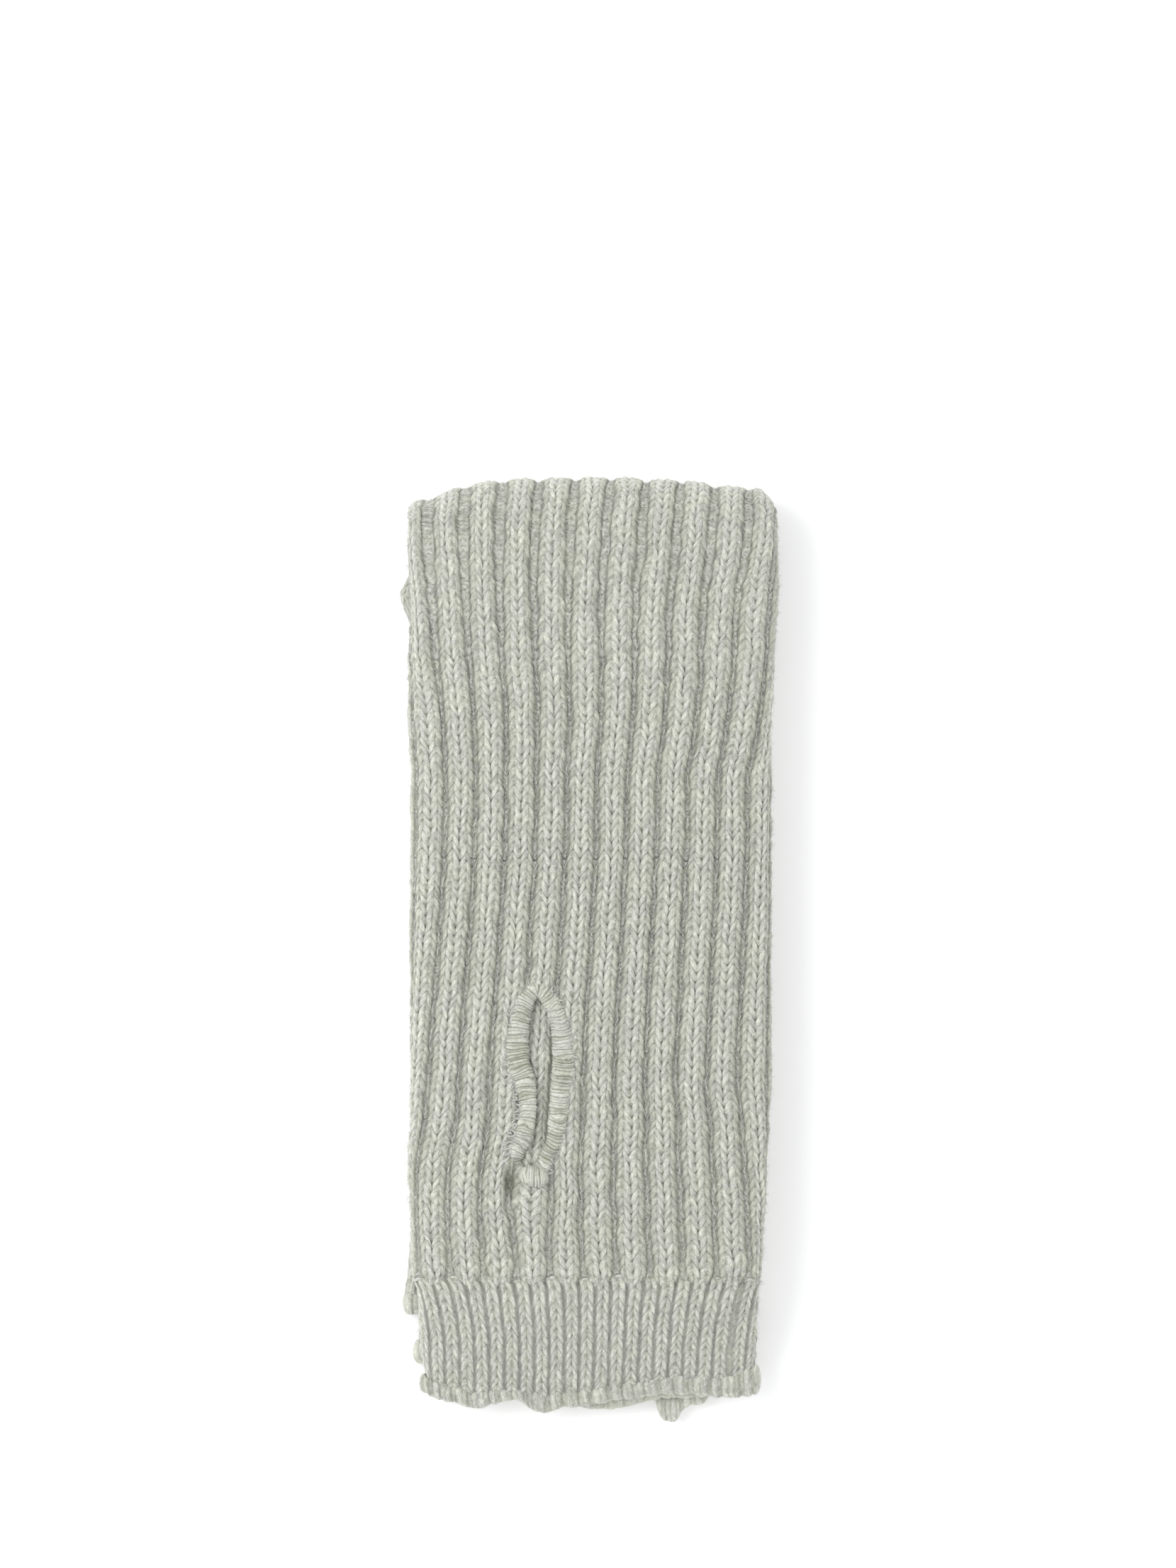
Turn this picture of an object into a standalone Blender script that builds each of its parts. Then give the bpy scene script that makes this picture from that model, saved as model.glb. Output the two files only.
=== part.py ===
"""A pair of ribbed knitted arm warmers, laid one on the other and folded in half.

X runs across the pair, +Y points to the fold, +Z is up and z = 0 is the surface it lies on.
Each arm warmer is one knitted tube: a long wide-rib arm, a narrow-rib hand cuff, a rolled edge at
both ends and a thumb slit. The outer one wraps round the inner one, so four flattened tubes lie on
each other. Everything is first placed in a straight stack, by its radius from the fold's axis, and
settle() then lets that stack lie down: lower at its sides, and stepped down to the surface where
the tubes end one after another.
"""

from math import cos, pi, sin

import bmesh
import bpy
import numpy as np
from mathutils import Vector

MM = 0.001

# ---- driving dimensions, in millimetres -------------------------------------------------------
TUBE = 6.5                      # one flattened tube, both of its walls
STACK = 4 * TUBE                # the folded pair
MIDDLE = STACK / 2              # height of the fold's axis
WALL = 2.6                      # cloth at the crown of a rib
RIB_DEPTH = 1.5                 # how far the valley between two wide ribs lies under their crowns
CUFF_WALL = 2.4
CUFF_RIB_DEPTH = 0.9
SEAM_GAP = 0.3                  # between pieces that meet
EDGE_RADIUS = TUBE / 2          # a flattened tube turns round at its sides
TUCK = 1.5                      # how far the cloth runs back under its own side
FOLD_TIP_Y = 127.7
FOLD_AXIS_Y = FOLD_TIP_Y - MIDDLE
CUFF_SEAM_Y = -91.3             # wide ribs end and the hand cuff begins
CUFF_END_Y = -119.6
OUTER_HEM_Y = -94.4             # the arm end of the outer arm warmer, underneath
INNER_HEM_Y = -108.3            # the arm end of the inner arm warmer
INNER_CUFF_END_Y = -118.4
ORIGIN = (-0.965, -1.61)         # centre of the finished pair's box, which is the part's origin

# The outer tube as it lies on top. The valleys between its ribs stand at
# first + pitch * n + bow * (1 - ((n - 4.5) / 5.5)^2), for n = 0, 1, 2 ...
STATION_COLUMNS = ("y", "centre", "half_width", "first", "pitch", "bow")
STATIONS = (
    (127.3, 0.1, 51.0, -45.0, 9.73, 1.9),
    (111.0, 0.1, 51.0, -44.5, 9.65, 0.4),
    (93.4, 0.3, 50.6, -43.5, 9.24, 0.0),
    (75.9, -0.4, 50.1, -42.3, 8.99, 0.0),
    (58.3, -0.5, 49.8, -40.4, 8.56, 0.0),
    (42.7, -0.1, 49.6, -39.8, 8.23, 0.0),
    (-35.3, -0.5, 49.6, -44.5, 8.42, 0.0),
    (-48.9, -0.5, 49.4, -45.6, 8.64, 0.0),
    (-60.6, -1.2, 49.3, -47.8, 8.93, 0.0),
    (-72.3, -1.0, 48.8, -48.6, 9.09, 0.0),
    (-89.9, -1.4, 47.8, -47.6, 9.05, 0.0),
    (-97.7, -1.0, 46.6, -47.2, 8.64, 0.0),
    (-109.4, -1.0, 46.3, -44.9, 8.31, 0.0),
    (-119.6, -0.4, 45.2, -45.6, 8.31, 0.0),
)

# The same tube underneath, and the inner arm warmer, which lies a little askew.
LOWER_COLUMNS = ("y", "centre", "half_width")
UNDERSIDE = ((114.7, 0.1, 51.0), (60.0, -0.2, 49.4), (-60.0, -1.6, 48.4), (-96.4, -2.8, 48.0))
INNER = ((114.7, 0.0, 49.6), (40.0, -0.2, 48.8), (-70.0, -0.9, 47.6), (-90.0, -1.2, 46.4), (-125.0, -0.9, 44.6))

# Heights of the four tubes' boundaries as they step down to the surface at the open ends.
LEVEL_COLUMNS = ("y", "z1", "z2", "z3", "z4")
LEVELS = (
    (-78.0, 6.5, 13.0, 19.5, 26.0),
    (-92.0, 6.2, 12.4, 18.7, 25.0),
    (-100.0, 5.3, 11.1, 17.1, 23.2),
    (-106.0, 2.4, 8.2, 14.0, 19.9),
    (-112.0, 0.3, 5.6, 11.2, 16.9),
    (-118.0, 0.0, 2.4, 8.0, 13.7),
    (-124.0, 0.0, 0.2, 5.9, 11.7),
    (-134.0, 0.0, 0.0, 5.7, 11.4),
)

# The tip of the fold, seen from above: its corners are rounded off.
FOLD_COLUMNS = ("x", "tip_y")
FOLD_TIP = (
    (-52.0, 117.5), (-48.6, 121.0), (-43.0, 122.4), (-36.0, 125.2), (-24.0, 127.0), (2.0, 127.7),
    (24.0, 126.9), (36.0, 125.2), (45.0, 124.8), (49.0, 121.8), (52.0, 118.0),
)
SIDE_DROP = 0.13                # share of its height that the stack loses at its sides

# The overcast edge of the thumb slit, once round it from its upper end.
THUMB_COLUMNS = ("x", "y", "width", "height")
THUMB_EDGE = (
    (-14.6, -12.4, 4.2, 3.1), (-17.7, -15.2, 4.8, 3.2), (-19.1, -21.0, 5.8, 3.3),
    (-19.9, -27.5, 6.6, 3.4), (-19.9, -34.0, 6.8, 3.4), (-18.1, -41.0, 6.2, 3.4),
    (-17.8, -47.0, 5.7, 3.4), (-19.4, -53.0, 5.2, 3.2), (-21.4, -57.8, 4.2, 2.9),
    (-20.9, -61.8, 3.4, 2.7), (-18.3, -63.9, 4.6, 3.3), (-15.6, -63.9, 5.4, 3.6),
    (-13.1, -62.3, 5.0, 3.5), (-11.7, -58.6, 4.6, 3.3), (-10.2, -53.0, 5.0, 3.3),
    (-9.2, -46.0, 5.6, 3.4), (-8.4, -39.5, 5.9, 3.4), (-7.6, -32.5, 5.9, 3.4),
    (-8.0, -26.0, 5.7, 3.3), (-9.2, -20.0, 5.2, 3.3), (-11.4, -15.2, 4.6, 3.2),
)
THUMB_PROUD = 0.8               # how far that edge stands over the ribs
RIB_SPREAD = 1.5                # the rib under the slit is spread by its end
RIB_SPREAD_Y = -67.0
RIB_SPREAD_LENGTH = 10.0

# The rolled edges, across the pair: the middle lines of the roll on a tube's upper and lower lip,
# and half the roll's size along Y.
ROLL_COLUMNS = ("x", "upper_y", "lower_y", "half_depth")
OUTER_CUFF_ROLL = (
    (-46.6, -120.6, -119.8, 2.3), (-42.0, -122.6, -121.2, 2.4), (-37.6, -123.5, -122.4, 2.6),
    (-31.8, -125.2, -123.4, 2.5), (-26.5, -124.6, -122.8, 2.3), (-20.1, -123.6, -121.8, 1.7),
    (-17.0, -125.0, -122.6, 2.6), (-13.0, -126.1, -123.4, 2.8), (-8.0, -124.7, -123.4, 2.5),
    (-2.5, -124.6, -125.2, 2.4), (5.3, -123.0, -125.5, 2.4), (9.2, -122.6, -124.9, 2.4),
    (14.0, -121.9, -123.6, 2.4), (18.9, -121.2, -122.6, 2.4), (24.8, -120.9, -122.2, 2.7),
    (30.6, -121.1, -122.0, 2.7), (34.5, -121.6, -121.6, 2.7), (40.4, -122.0, -120.6, 2.5),
    (44.7, -119.9, -119.2, 2.6),
)
INNER_CUFF_ROLL = (
    (-45.5, -120.4, -119.6, 2.3), (-30.0, -121.6, -120.8, 2.3), (-10.0, -121.8, -121.0, 2.3),
    (10.0, -122.0, -121.4, 2.3), (15.5, -122.4, -122.0, 2.3), (18.6, -126.2, -125.6, 2.5),
    (21.8, -128.7, -127.8, 2.6), (24.6, -127.4, -126.6, 2.6), (27.5, -124.8, -124.4, 2.4),
    (31.0, -124.4, -124.0, 2.3), (33.5, -122.6, -122.2, 2.2), (44.0, -120.0, -119.4, 2.2),
)
OUTER_ARM_ROLL = (
    (-51.0, -97.4, -97.4, 2.5), (-40.0, -98.2, -98.8, 2.4), (-20.0, -97.4, -98.4, 2.4),
    (0.0, -98.6, -99.4, 2.4), (20.0, -97.6, -98.4, 2.4), (44.0, -98.0, -98.0, 2.4),
)
INNER_ARM_ROLL = (
    (-48.0, -111.4, -111.4, 2.5), (-34.0, -112.2, -112.8, 2.4), (-10.0, -111.4, -112.4, 2.4),
    (12.0, -112.4, -113.2, 2.4), (30.0, -111.6, -112.4, 2.4), (44.0, -112.0, -112.0, 2.4),
)
ROLL_HALF_HEIGHT = 1.35
ROLL_PROUD = 0.9                # the roll on top stands this much over the cuff
ROLL_LIP = 1.65                 # from the middle of a tube's end to the middle of each lip's roll
RUFFLE_SWELL = 0.14             # each stitch column swells the roll by this share

YARN_COLOUR = (0.50, 0.51, 0.45, 1.0)
THREAD_COLOUR = (0.54, 0.55, 0.49, 1.0)


# ---- tables and the stack's shape -------------------------------------------------------------
def column(table, columns, name, at):
    """One named column of a table, read smoothly and without overshoot along its first column."""
    rows = np.array(sorted(table))
    keys = rows[:, 0]
    values = rows[:, columns.index(name)]
    secants = np.diff(values) / np.diff(keys)
    both = secants[1:] * secants[:-1]
    level = np.where(both > 0, 2 * both / (secants[1:] + secants[:-1] + (both <= 0)), 0.0)
    slopes = np.concatenate([secants[:1], level, secants[-1:]])
    at = np.clip(np.asarray(at, float), keys[0], keys[-1])
    i = np.clip(np.searchsorted(keys, at) - 1, 0, len(keys) - 2)
    span = keys[i + 1] - keys[i]
    t = (at - keys[i]) / span
    start, end = values[i], values[i + 1]
    lead, trail = slopes[i] * span, slopes[i + 1] * span
    return (
        (2 * t**3 - 3 * t**2 + 1) * start
        + (t**3 - 2 * t**2 + t) * lead
        + (3 * t**2 - 2 * t**3) * end
        + (t**3 - t**2) * trail
    )


def settle(points):
    """Takes points of the straight stack, in millimetres, to where the lying pair has them, in metres."""
    points = np.asarray(points, float)
    x, y, z = points[..., 0], points[..., 1], points[..., 2]
    tip = column(FOLD_TIP, FOLD_COLUMNS, "tip_y", x)
    nose = (tip - FOLD_AXIS_Y) / MIDDLE
    laid_y = np.where(y > FOLD_AXIS_Y, FOLD_AXIS_Y + (y - FOLD_AXIS_Y) * nose, y)
    heights = [np.zeros_like(z)] + [column(LEVELS, LEVEL_COLUMNS, name, y) for name in LEVEL_COLUMNS[1:]]
    laid_z = np.zeros_like(z)
    for low, high, below in zip(heights, heights[1:], np.arange(4) * TUBE):
        share = np.clip((z - below) / TUBE, 0.0, 1.0)
        laid_z = laid_z + (high - low) * share
    laid_z = laid_z + np.maximum(z - STACK, 0.0)
    side = 1.0 - SIDE_DROP * np.minimum(np.abs(x) / 51.0, 1.1) ** 4
    laid = np.stack([x - ORIGIN[0], laid_y - ORIGIN[1], laid_z * side], axis=-1)
    return laid * MM


def valley_x(n, y):
    """Where rib valley n of the outer tube lies, measured along its cloth from x = 0."""
    first = column(STATIONS, STATION_COLUMNS, "first", y)
    pitch = column(STATIONS, STATION_COLUMNS, "pitch", y)
    bow = column(STATIONS, STATION_COLUMNS, "bow", y)
    from_thumb = n - 3.5
    spread = 2.6 * from_thumb * np.exp(-((from_thumb / 0.8) ** 2))
    beside_slit = np.exp(-(((y - RIB_SPREAD_Y) / RIB_SPREAD_LENGTH) ** 2))
    return first + pitch * n + bow * (1 - ((n - 4.5) / 5.5) ** 2) + RIB_SPREAD * spread * beside_slit


def side_profile(across, centre, half_width, inward):
    """A flattened tube's section: across is measured along the cloth from the tube's centre line.

    It returns x and the radius from the fold's axis. The cloth is flat, turns half round at the
    side and runs back underneath. inward moves the point that far into the tube."""
    flat = half_width - EDGE_RADIUS
    turn = pi * EDGE_RADIUS
    size = np.abs(across)
    angle = np.clip((size - flat) / EDGE_RADIUS, 0.0, pi)
    under = np.maximum(size - flat - turn, 0.0)
    radius = EDGE_RADIUS - inward
    x = np.minimum(size, flat) + radius * np.sin(angle) - under
    rho = MIDDLE - EDGE_RADIUS + radius * np.cos(angle)
    return centre + np.sign(across) * x, rho


# ---- mesh helpers -----------------------------------------------------------------------------
def zip_rows(mesh, first, second):
    """Joins two rows of vertices that run the same way, whatever their counts, with triangles."""
    i = j = 0
    while i < len(first) - 1 or j < len(second) - 1:
        ahead_first = (i + 1) / (len(first) - 1)
        ahead_second = (j + 1) / (len(second) - 1)
        if j == len(second) - 1 or (i < len(first) - 1 and ahead_first <= ahead_second):
            mesh.faces.new((first[i], first[i + 1], second[j]))
            i += 1
        else:
            mesh.faces.new((first[i], second[j + 1], second[j]))
            j += 1


def add_grid(mesh, points):
    """A surface through a grid of points. Returns its vertices by row."""
    rows = [[mesh.verts.new(Vector(p)) for p in row] for row in points]
    for low, high in zip(rows, rows[1:]):
        for a, b, c, d in zip(low, low[1:], high[1:], high):
            mesh.faces.new((a, b, c, d))
    return rows


def finish_solid(name, mesh, material, smooth_degrees=50):
    """Turns a closed bmesh into a named object with its faces pointing out."""
    bmesh.ops.remove_doubles(mesh, verts=mesh.verts, dist=1e-6)
    bmesh.ops.recalc_face_normals(mesh, faces=mesh.faces)
    data = bpy.data.meshes.new(name)
    mesh.to_mesh(data)
    mesh.free()
    data.materials.append(material)
    data.shade_smooth()
    data.set_sharp_from_angle(angle=smooth_degrees * pi / 180)
    solid = bpy.data.objects.new(name, data)
    bpy.context.scene.collection.objects.link(solid)
    return solid


def make_material(name, colour):
    material = bpy.data.materials.new(name)
    material.use_nodes = True
    shader = material.node_tree.nodes["Principled BSDF"]
    shader.inputs["Base Color"].default_value = colour
    shader.inputs["Roughness"].default_value = 0.95
    shader.inputs["Metallic"].default_value = 0.0
    return material


# ---- the outer arm warmer's wide-rib tube -----------------------------------------------------
def tube_path():
    """Stations along the outer tube, from the cuff seam over the fold to the arm end underneath.

    Each is (y, turn): y along the legs, and turn from 0 at the top of the fold to pi below it."""
    top = [(y, 0.0) for y in np.linspace(CUFF_SEAM_Y, FOLD_AXIS_Y, 16)]
    fold = [(FOLD_AXIS_Y, turn) for turn in np.linspace(0.0, pi, 10)[1:-1]]
    below = [(y, pi) for y in np.linspace(FOLD_AXIS_Y, OUTER_HEM_Y, 8)]
    return top + fold + below


def in_stack(x, rho, y, turn):
    """A point at radius rho from the fold's axis, in the straight stack."""
    return np.stack([x, y + rho * np.sin(turn) + 0 * x, MIDDLE + rho * np.cos(turn)], axis=-1)


def tube_section(y, turn, ribs):
    """Rib numbers, cloth positions, centre and half width of the outer tube at one station."""
    read_y = y + MIDDLE * sin(min(turn, pi / 2))
    top_centre = column(STATIONS, STATION_COLUMNS, "centre", read_y)
    top_half = column(STATIONS, STATION_COLUMNS, "half_width", read_y)
    low_centre = column(UNDERSIDE, LOWER_COLUMNS, "centre", y)
    low_half = column(UNDERSIDE, LOWER_COLUMNS, "half_width", y)
    share = turn / pi
    centre = top_centre * (1 - share) + low_centre * share
    half = top_half * (1 - share) + low_half * share
    rib_y = read_y if turn < pi else FOLD_TIP_Y
    across = valley_x(ribs, rib_y) - centre
    return across, centre, half


def outer_rib_tube(material):
    ribs = np.arange(-0.5, 10.26, 0.25)
    outer_rows, inner_rows = [], []
    for y, turn in tube_path():
        across, centre, half = tube_section(y, turn, ribs)
        end = half - EDGE_RADIUS + pi * EDGE_RADIUS + TUCK
        left = np.linspace(-end, across[0], 7)[:-1]
        right = np.linspace(across[-1], end, 7)[1:]
        cloth = np.concatenate([left, across, right])
        crown = np.abs(np.sin(pi * np.concatenate([np.full(6, 0.5), ribs, np.full(6, 0.5)]))) ** 0.7
        flat_below = np.clip((turn - 0.6 * pi) / (0.4 * pi), 0.0, 1.0)
        resting = flat_below * (np.abs(cloth) < half - EDGE_RADIUS + 1.0)
        depth = RIB_DEPTH * (1 - crown) * (1 - resting)
        x, rho = side_profile(cloth, centre, half, depth)
        outer_rows.append(settle(in_stack(x, rho, y, turn)))
        flat = half - EDGE_RADIUS
        turned = flat + EDGE_RADIUS * np.linspace(0.0, pi, 5)
        inside = np.concatenate([[-end], -turned[::-1], np.linspace(-flat, flat, 15)[1:-1], turned, [end]])
        x, rho = side_profile(inside, centre, half, WALL)
        inner_rows.append(settle(in_stack(x, rho, y, turn)))
    mesh = bmesh.new()
    outer = add_grid(mesh, outer_rows)
    inner = add_grid(mesh, inner_rows)
    for side in (0, -1):
        for k in range(len(outer) - 1):
            mesh.faces.new((outer[k][side], outer[k + 1][side], inner[k + 1][side], inner[k][side]))
    for end_row in (0, -1):
        zip_rows(mesh, outer[end_row], inner[end_row])
    tube = finish_solid("outer_rib_tube", mesh, material)
    cut = tube.modifiers.new("thumb_slit", "BOOLEAN")
    cut.operation = "DIFFERENCE"
    cut.object = thumb_cutter()
    return tube


# ---- the thumb slit ---------------------------------------------------------------------------
def thumb_ring(samples):
    """The thumb edge's closed centre line, its outward side and its widths and heights."""
    rows = np.array(THUMB_EDGE)
    count = len(rows)
    place = np.linspace(0, count, samples, endpoint=False)
    i = place.astype(int)
    t = (place - i)[:, None]
    before, here, after, beyond = (rows[(i + k) % count] for k in (-1, 0, 1, 2))
    smooth = 0.5 * (
        2 * here
        + (after - before) * t
        + (2 * before - 5 * here + 4 * after - beyond) * t**2
        + (3 * here - before - 3 * after + beyond) * t**3
    )
    along = np.roll(smooth[:, :2], -1, axis=0) - np.roll(smooth[:, :2], 1, axis=0)
    along /= np.linalg.norm(along, axis=1, keepdims=True)
    outward = np.stack([along[:, 1], -along[:, 0]], axis=1)
    outward *= np.sign(np.sum(outward * (smooth[:, :2] - smooth[:, :2].mean(0))))
    return smooth[:, :2], outward, smooth[:, 2], smooth[:, 3]


def thumb_cutter():
    """A prism just outside the thumb edge. It opens the tube's upper wall and nothing below it."""
    line, outward, width, _ = thumb_ring(44)
    outline = line + outward * (width / 2 + SEAM_GAP)[:, None]
    mesh = bmesh.new()
    loops = []
    for height in (MIDDLE + TUBE, STACK + 2 * TUBE):
        z = np.full(len(outline), height)
        flat = (np.column_stack([outline, z]) - [*ORIGIN, 0]) * MM
        loops.append([mesh.verts.new(Vector(p)) for p in flat])
    low, high = loops
    mesh.faces.new(low)
    mesh.faces.new(high)
    for k in range(len(low)):
        after = (k + 1) % len(low)
        mesh.faces.new((low[k], low[after], high[after], high[k]))
    bmesh.ops.recalc_face_normals(mesh, faces=mesh.faces)
    data = bpy.data.meshes.new("thumb_cutter")
    mesh.to_mesh(data)
    mesh.free()
    cutter = bpy.data.objects.new("thumb_cutter", data)
    cutter.hide_render = True
    cutter.display_type = "WIRE"
    bpy.context.scene.collection.objects.link(cutter)
    return cutter


def closed_ring(name, sections, material):
    """A tube whose closed sections, given as points in metres, follow one another round a ring."""
    mesh = bmesh.new()
    rings = [[mesh.verts.new(Vector(p)) for p in section] for section in sections]
    for k, ring in enumerate(rings):
        after = rings[(k + 1) % len(rings)]
        for s in range(len(ring)):
            t = (s + 1) % len(ring)
            mesh.faces.new((ring[s], ring[t], after[t], after[s]))
    return finish_solid(name, mesh, material, 70)


def thumb_edge(material):
    line, outward, width, height = thumb_ring(54)
    turn = np.arange(8) * 2 * pi / 8
    ground = line[:, None, :] + outward[:, None, :] * (width / 2)[:, None, None] * np.cos(turn)[None, :, None]
    top = settle(np.column_stack([line, np.full(len(line), STACK)]))[:, 2] / MM
    middle = top + THUMB_PROUD - height / 2
    z = middle[:, None] + (height / 2)[:, None] * np.sin(turn)[None, :]
    sections = (np.concatenate([ground, z[:, :, None]], axis=2) - [*ORIGIN, 0]) * MM
    return closed_ring("thumb_edge", sections, material)


# ---- the hand cuff ----------------------------------------------------------------------------
def roll_line(x, lift, table):
    """The roll's middle line and half size along Y. lift is 1 on the upper lip and -1 on the lower."""
    upper = column(table, ROLL_COLUMNS, "upper_y", x)
    lower = column(table, ROLL_COLUMNS, "lower_y", x)
    return upper * (1 + lift) / 2 + lower * (1 - lift) / 2, column(table, ROLL_COLUMNS, "half_depth", x)


def toward_roll(x, y, lift, start, end, table):
    """Moves y so that cloth that would end straight across, at end, stops just short of its roll."""
    middle, half_depth = roll_line(x, lift, table)
    last = middle + half_depth * (1 + RUFFLE_SWELL) + SEAM_GAP
    share = np.clip((y - start) / (end - start), 0.0, 1.0)
    return y + (last - end) * share


def cuff_row(section, y):
    """One row of the cuff's points. section holds x and z, and y is where a straight row would lie."""
    x, z = section[:, 0], section[:, 1]
    lift = np.clip((z - MIDDLE - TUBE - EDGE_RADIUS) / (EDGE_RADIUS - CUFF_WALL), -1.0, 1.0)
    bent = toward_roll(x, y, lift, CUFF_SEAM_Y - SEAM_GAP, CUFF_END_Y, OUTER_CUFF_ROLL)
    return settle(np.stack([x, bent, z], axis=1))


def outer_hand_cuff(material):
    """The narrow-rib cuff, a flattened tube whose mouth lies shut but is open."""
    narrow = np.arange(0.0, 10.76, 0.125)
    outer_loops, inner_loops = [], []
    for y in np.linspace(CUFF_SEAM_Y - SEAM_GAP, CUFF_END_Y, 6):
        centre = column(STATIONS, STATION_COLUMNS, "centre", y)
        half = column(STATIONS, STATION_COLUMNS, "half_width", y)
        flat = half - EDGE_RADIUS
        across = valley_x(narrow, y) - centre
        kept = np.clip(across, -flat, flat)
        slack = np.linspace(-flat, flat, len(across))
        across = np.where(np.abs(across) > flat, 0.9 * kept + 0.1 * slack, kept)
        depth = CUFF_RIB_DEPTH * (1 - np.abs(np.sin(2 * pi * narrow)) ** 0.7)
        turned = np.linspace(0.0, pi, 6)[1:-1]
        middle = MIDDLE + TUBE + EDGE_RADIUS
        radius = EDGE_RADIUS - 0.15
        top = np.stack([centre + across, middle + radius - depth], axis=1)
        right = np.stack([centre + flat + radius * np.sin(turned), middle + radius * np.cos(turned)], axis=1)
        bottom_x = np.linspace(flat, -flat, 14)
        bottom = np.stack([centre + bottom_x, np.full(14, middle - radius)], axis=1)
        left = np.stack([centre - flat - radius * np.sin(turned), middle - radius * np.cos(turned)], axis=1)
        outer_loops.append(cuff_row(np.concatenate([top, right, bottom, left]), y))
        slot = radius - CUFF_WALL
        slot_x = np.linspace(-flat, flat, 14)
        upper = np.stack([centre + slot_x, np.full(14, middle + slot)], axis=1)
        lower = np.stack([centre + slot_x[::-1], np.full(14, middle - slot)], axis=1)
        inner_loops.append(cuff_row(np.concatenate([upper, lower]), y))
    mesh = bmesh.new()
    outer = add_grid(mesh, [np.concatenate([loop, loop[:1]]) for loop in outer_loops])
    inner = add_grid(mesh, [np.concatenate([loop, loop[:1]]) for loop in inner_loops])
    top_count, turned_count = len(narrow), 4
    for end_row in (0, -1):
        out, slit = outer[end_row], inner[end_row]
        zip_rows(mesh, out[:top_count], slit[:14])
        zip_rows(mesh, out[top_count - 1:top_count + turned_count + 1], slit[13:15])
        zip_rows(mesh, out[top_count + turned_count:top_count + turned_count + 14], slit[14:28])
        zip_rows(mesh, out[top_count + turned_count + 13:], slit[27:29])
    return finish_solid("outer_hand_cuff", mesh, material)


# ---- the rolled edges -------------------------------------------------------------------------
def rolled_edge(name, table, layer, edges, upper_steps, lower_steps, swell_pitch, sides, proud, material):
    """The roll round a flattened tube's open end: along its upper lip and back along its lower one.

    layer counts the tubes from the surface up, edges are the roll's two ends across the pair, and
    proud is how much higher the upper lip's roll stands than its cloth."""
    left, right = edges
    flat_left, flat_right = left + ROLL_LIP + ROLL_HALF_HEIGHT, right - ROLL_LIP - ROLL_HALF_HEIGHT
    upper_x = np.linspace(flat_left, flat_right, upper_steps)
    lower_x = np.linspace(flat_right, flat_left, lower_steps)
    turned = np.linspace(0.0, pi, 5)[1:-1]
    x = np.concatenate([
        upper_x,
        flat_right + ROLL_LIP * np.sin(turned),
        lower_x,
        flat_left - ROLL_LIP * np.sin(turned),
    ])
    lift = np.concatenate([np.ones(upper_steps), np.cos(turned), -np.ones(lower_steps), -np.cos(turned)])
    outward_x = np.concatenate([
        np.zeros(upper_steps), np.sin(turned), np.zeros(lower_steps), -np.sin(turned),
    ])
    y, half_depth = roll_line(x, lift, table)
    swell = 1 + RUFFLE_SWELL * np.cos(2 * pi * x / swell_pitch) * (lift > 0.99)
    turn = np.arange(sides) * 2 * pi / sides
    height = ROLL_HALF_HEIGHT * swell[:, None] * np.sin(turn)
    height = height + proud * np.maximum(lift, 0.0)[:, None] * np.maximum(np.sin(turn), 0.0)
    depth = (half_depth * swell)[:, None] * np.cos(turn)
    middle = (layer + 0.5) * TUBE
    sections = np.stack([
        x[:, None] + height * outward_x[:, None],
        y[:, None] + depth,
        middle + ROLL_LIP * lift[:, None] + height * lift[:, None],
    ], axis=2)
    return closed_ring(name, settle(sections), material)


# ---- the hidden layers ------------------------------------------------------------------------
def layer_profile(centre, half, outer_centre, outer_half, outer_share, leg_share, slack):
    """Half of the hidden layers' section: x and radius from the fold's axis, from left to right.

    The inner tube's side is round. The outer tube's filling stands on it, narrower, between the
    tucked sides of the outer tube's own wall. The shares let either of them run out at an end, and
    slack keeps the filling that much further inside the wall."""
    top = TUBE - SEAM_GAP
    fill = top + (STACK / 2 - WALL - 2 * SEAM_GAP - slack - top) * outer_share
    neck = outer_half - EDGE_RADIUS - TUCK - 3 * SEAM_GAP
    steps = [
        (half - 2.4, 0.0), (half - 0.7, 0.9), (half, 3.1), (half - 0.7, 5.2), (half - 2.4, top),
    ]
    right = [(centre + w, rho * leg_share) for w, rho in steps]
    right += [
        (outer_centre + neck, top * leg_share),
        (outer_centre + neck, (0.25 * top + 0.75 * fill) * leg_share),
        (outer_centre + neck - 2.0, fill * leg_share),
    ]
    left = [(2 * centre - x, rho) for x, rho in right[:5]]
    left += [(2 * outer_centre - x, rho) for x, rho in right[5:]]
    stations = np.array([row[0] for row in INNER_CUFF_ROLL[1:-1]])
    stations = np.sort(np.concatenate([stations, (stations[1:] + stations[:-1]) / 2]))
    middle = [(x, fill * leg_share) for x in stations]
    profile = np.array(left + middle + right[::-1])
    if leg_share == 0.0:
        sides = len(left)
        profile[:sides, 0] = np.linspace(profile[0, 0], stations[0], sides + 1)[:-1]
        profile[-sides:, 0] = np.linspace(stations[-1], profile[-1, 0], sides + 1)[1:]
        profile[1:-1, 1] = -SEAM_GAP
    return profile


def poking_out(y):
    """The inner arm warmer's thumb edge shows as a small bump at the left, near the fold."""
    return 3.4 * np.exp(-(((y - 95.4) / 3.2) ** 2))


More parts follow.
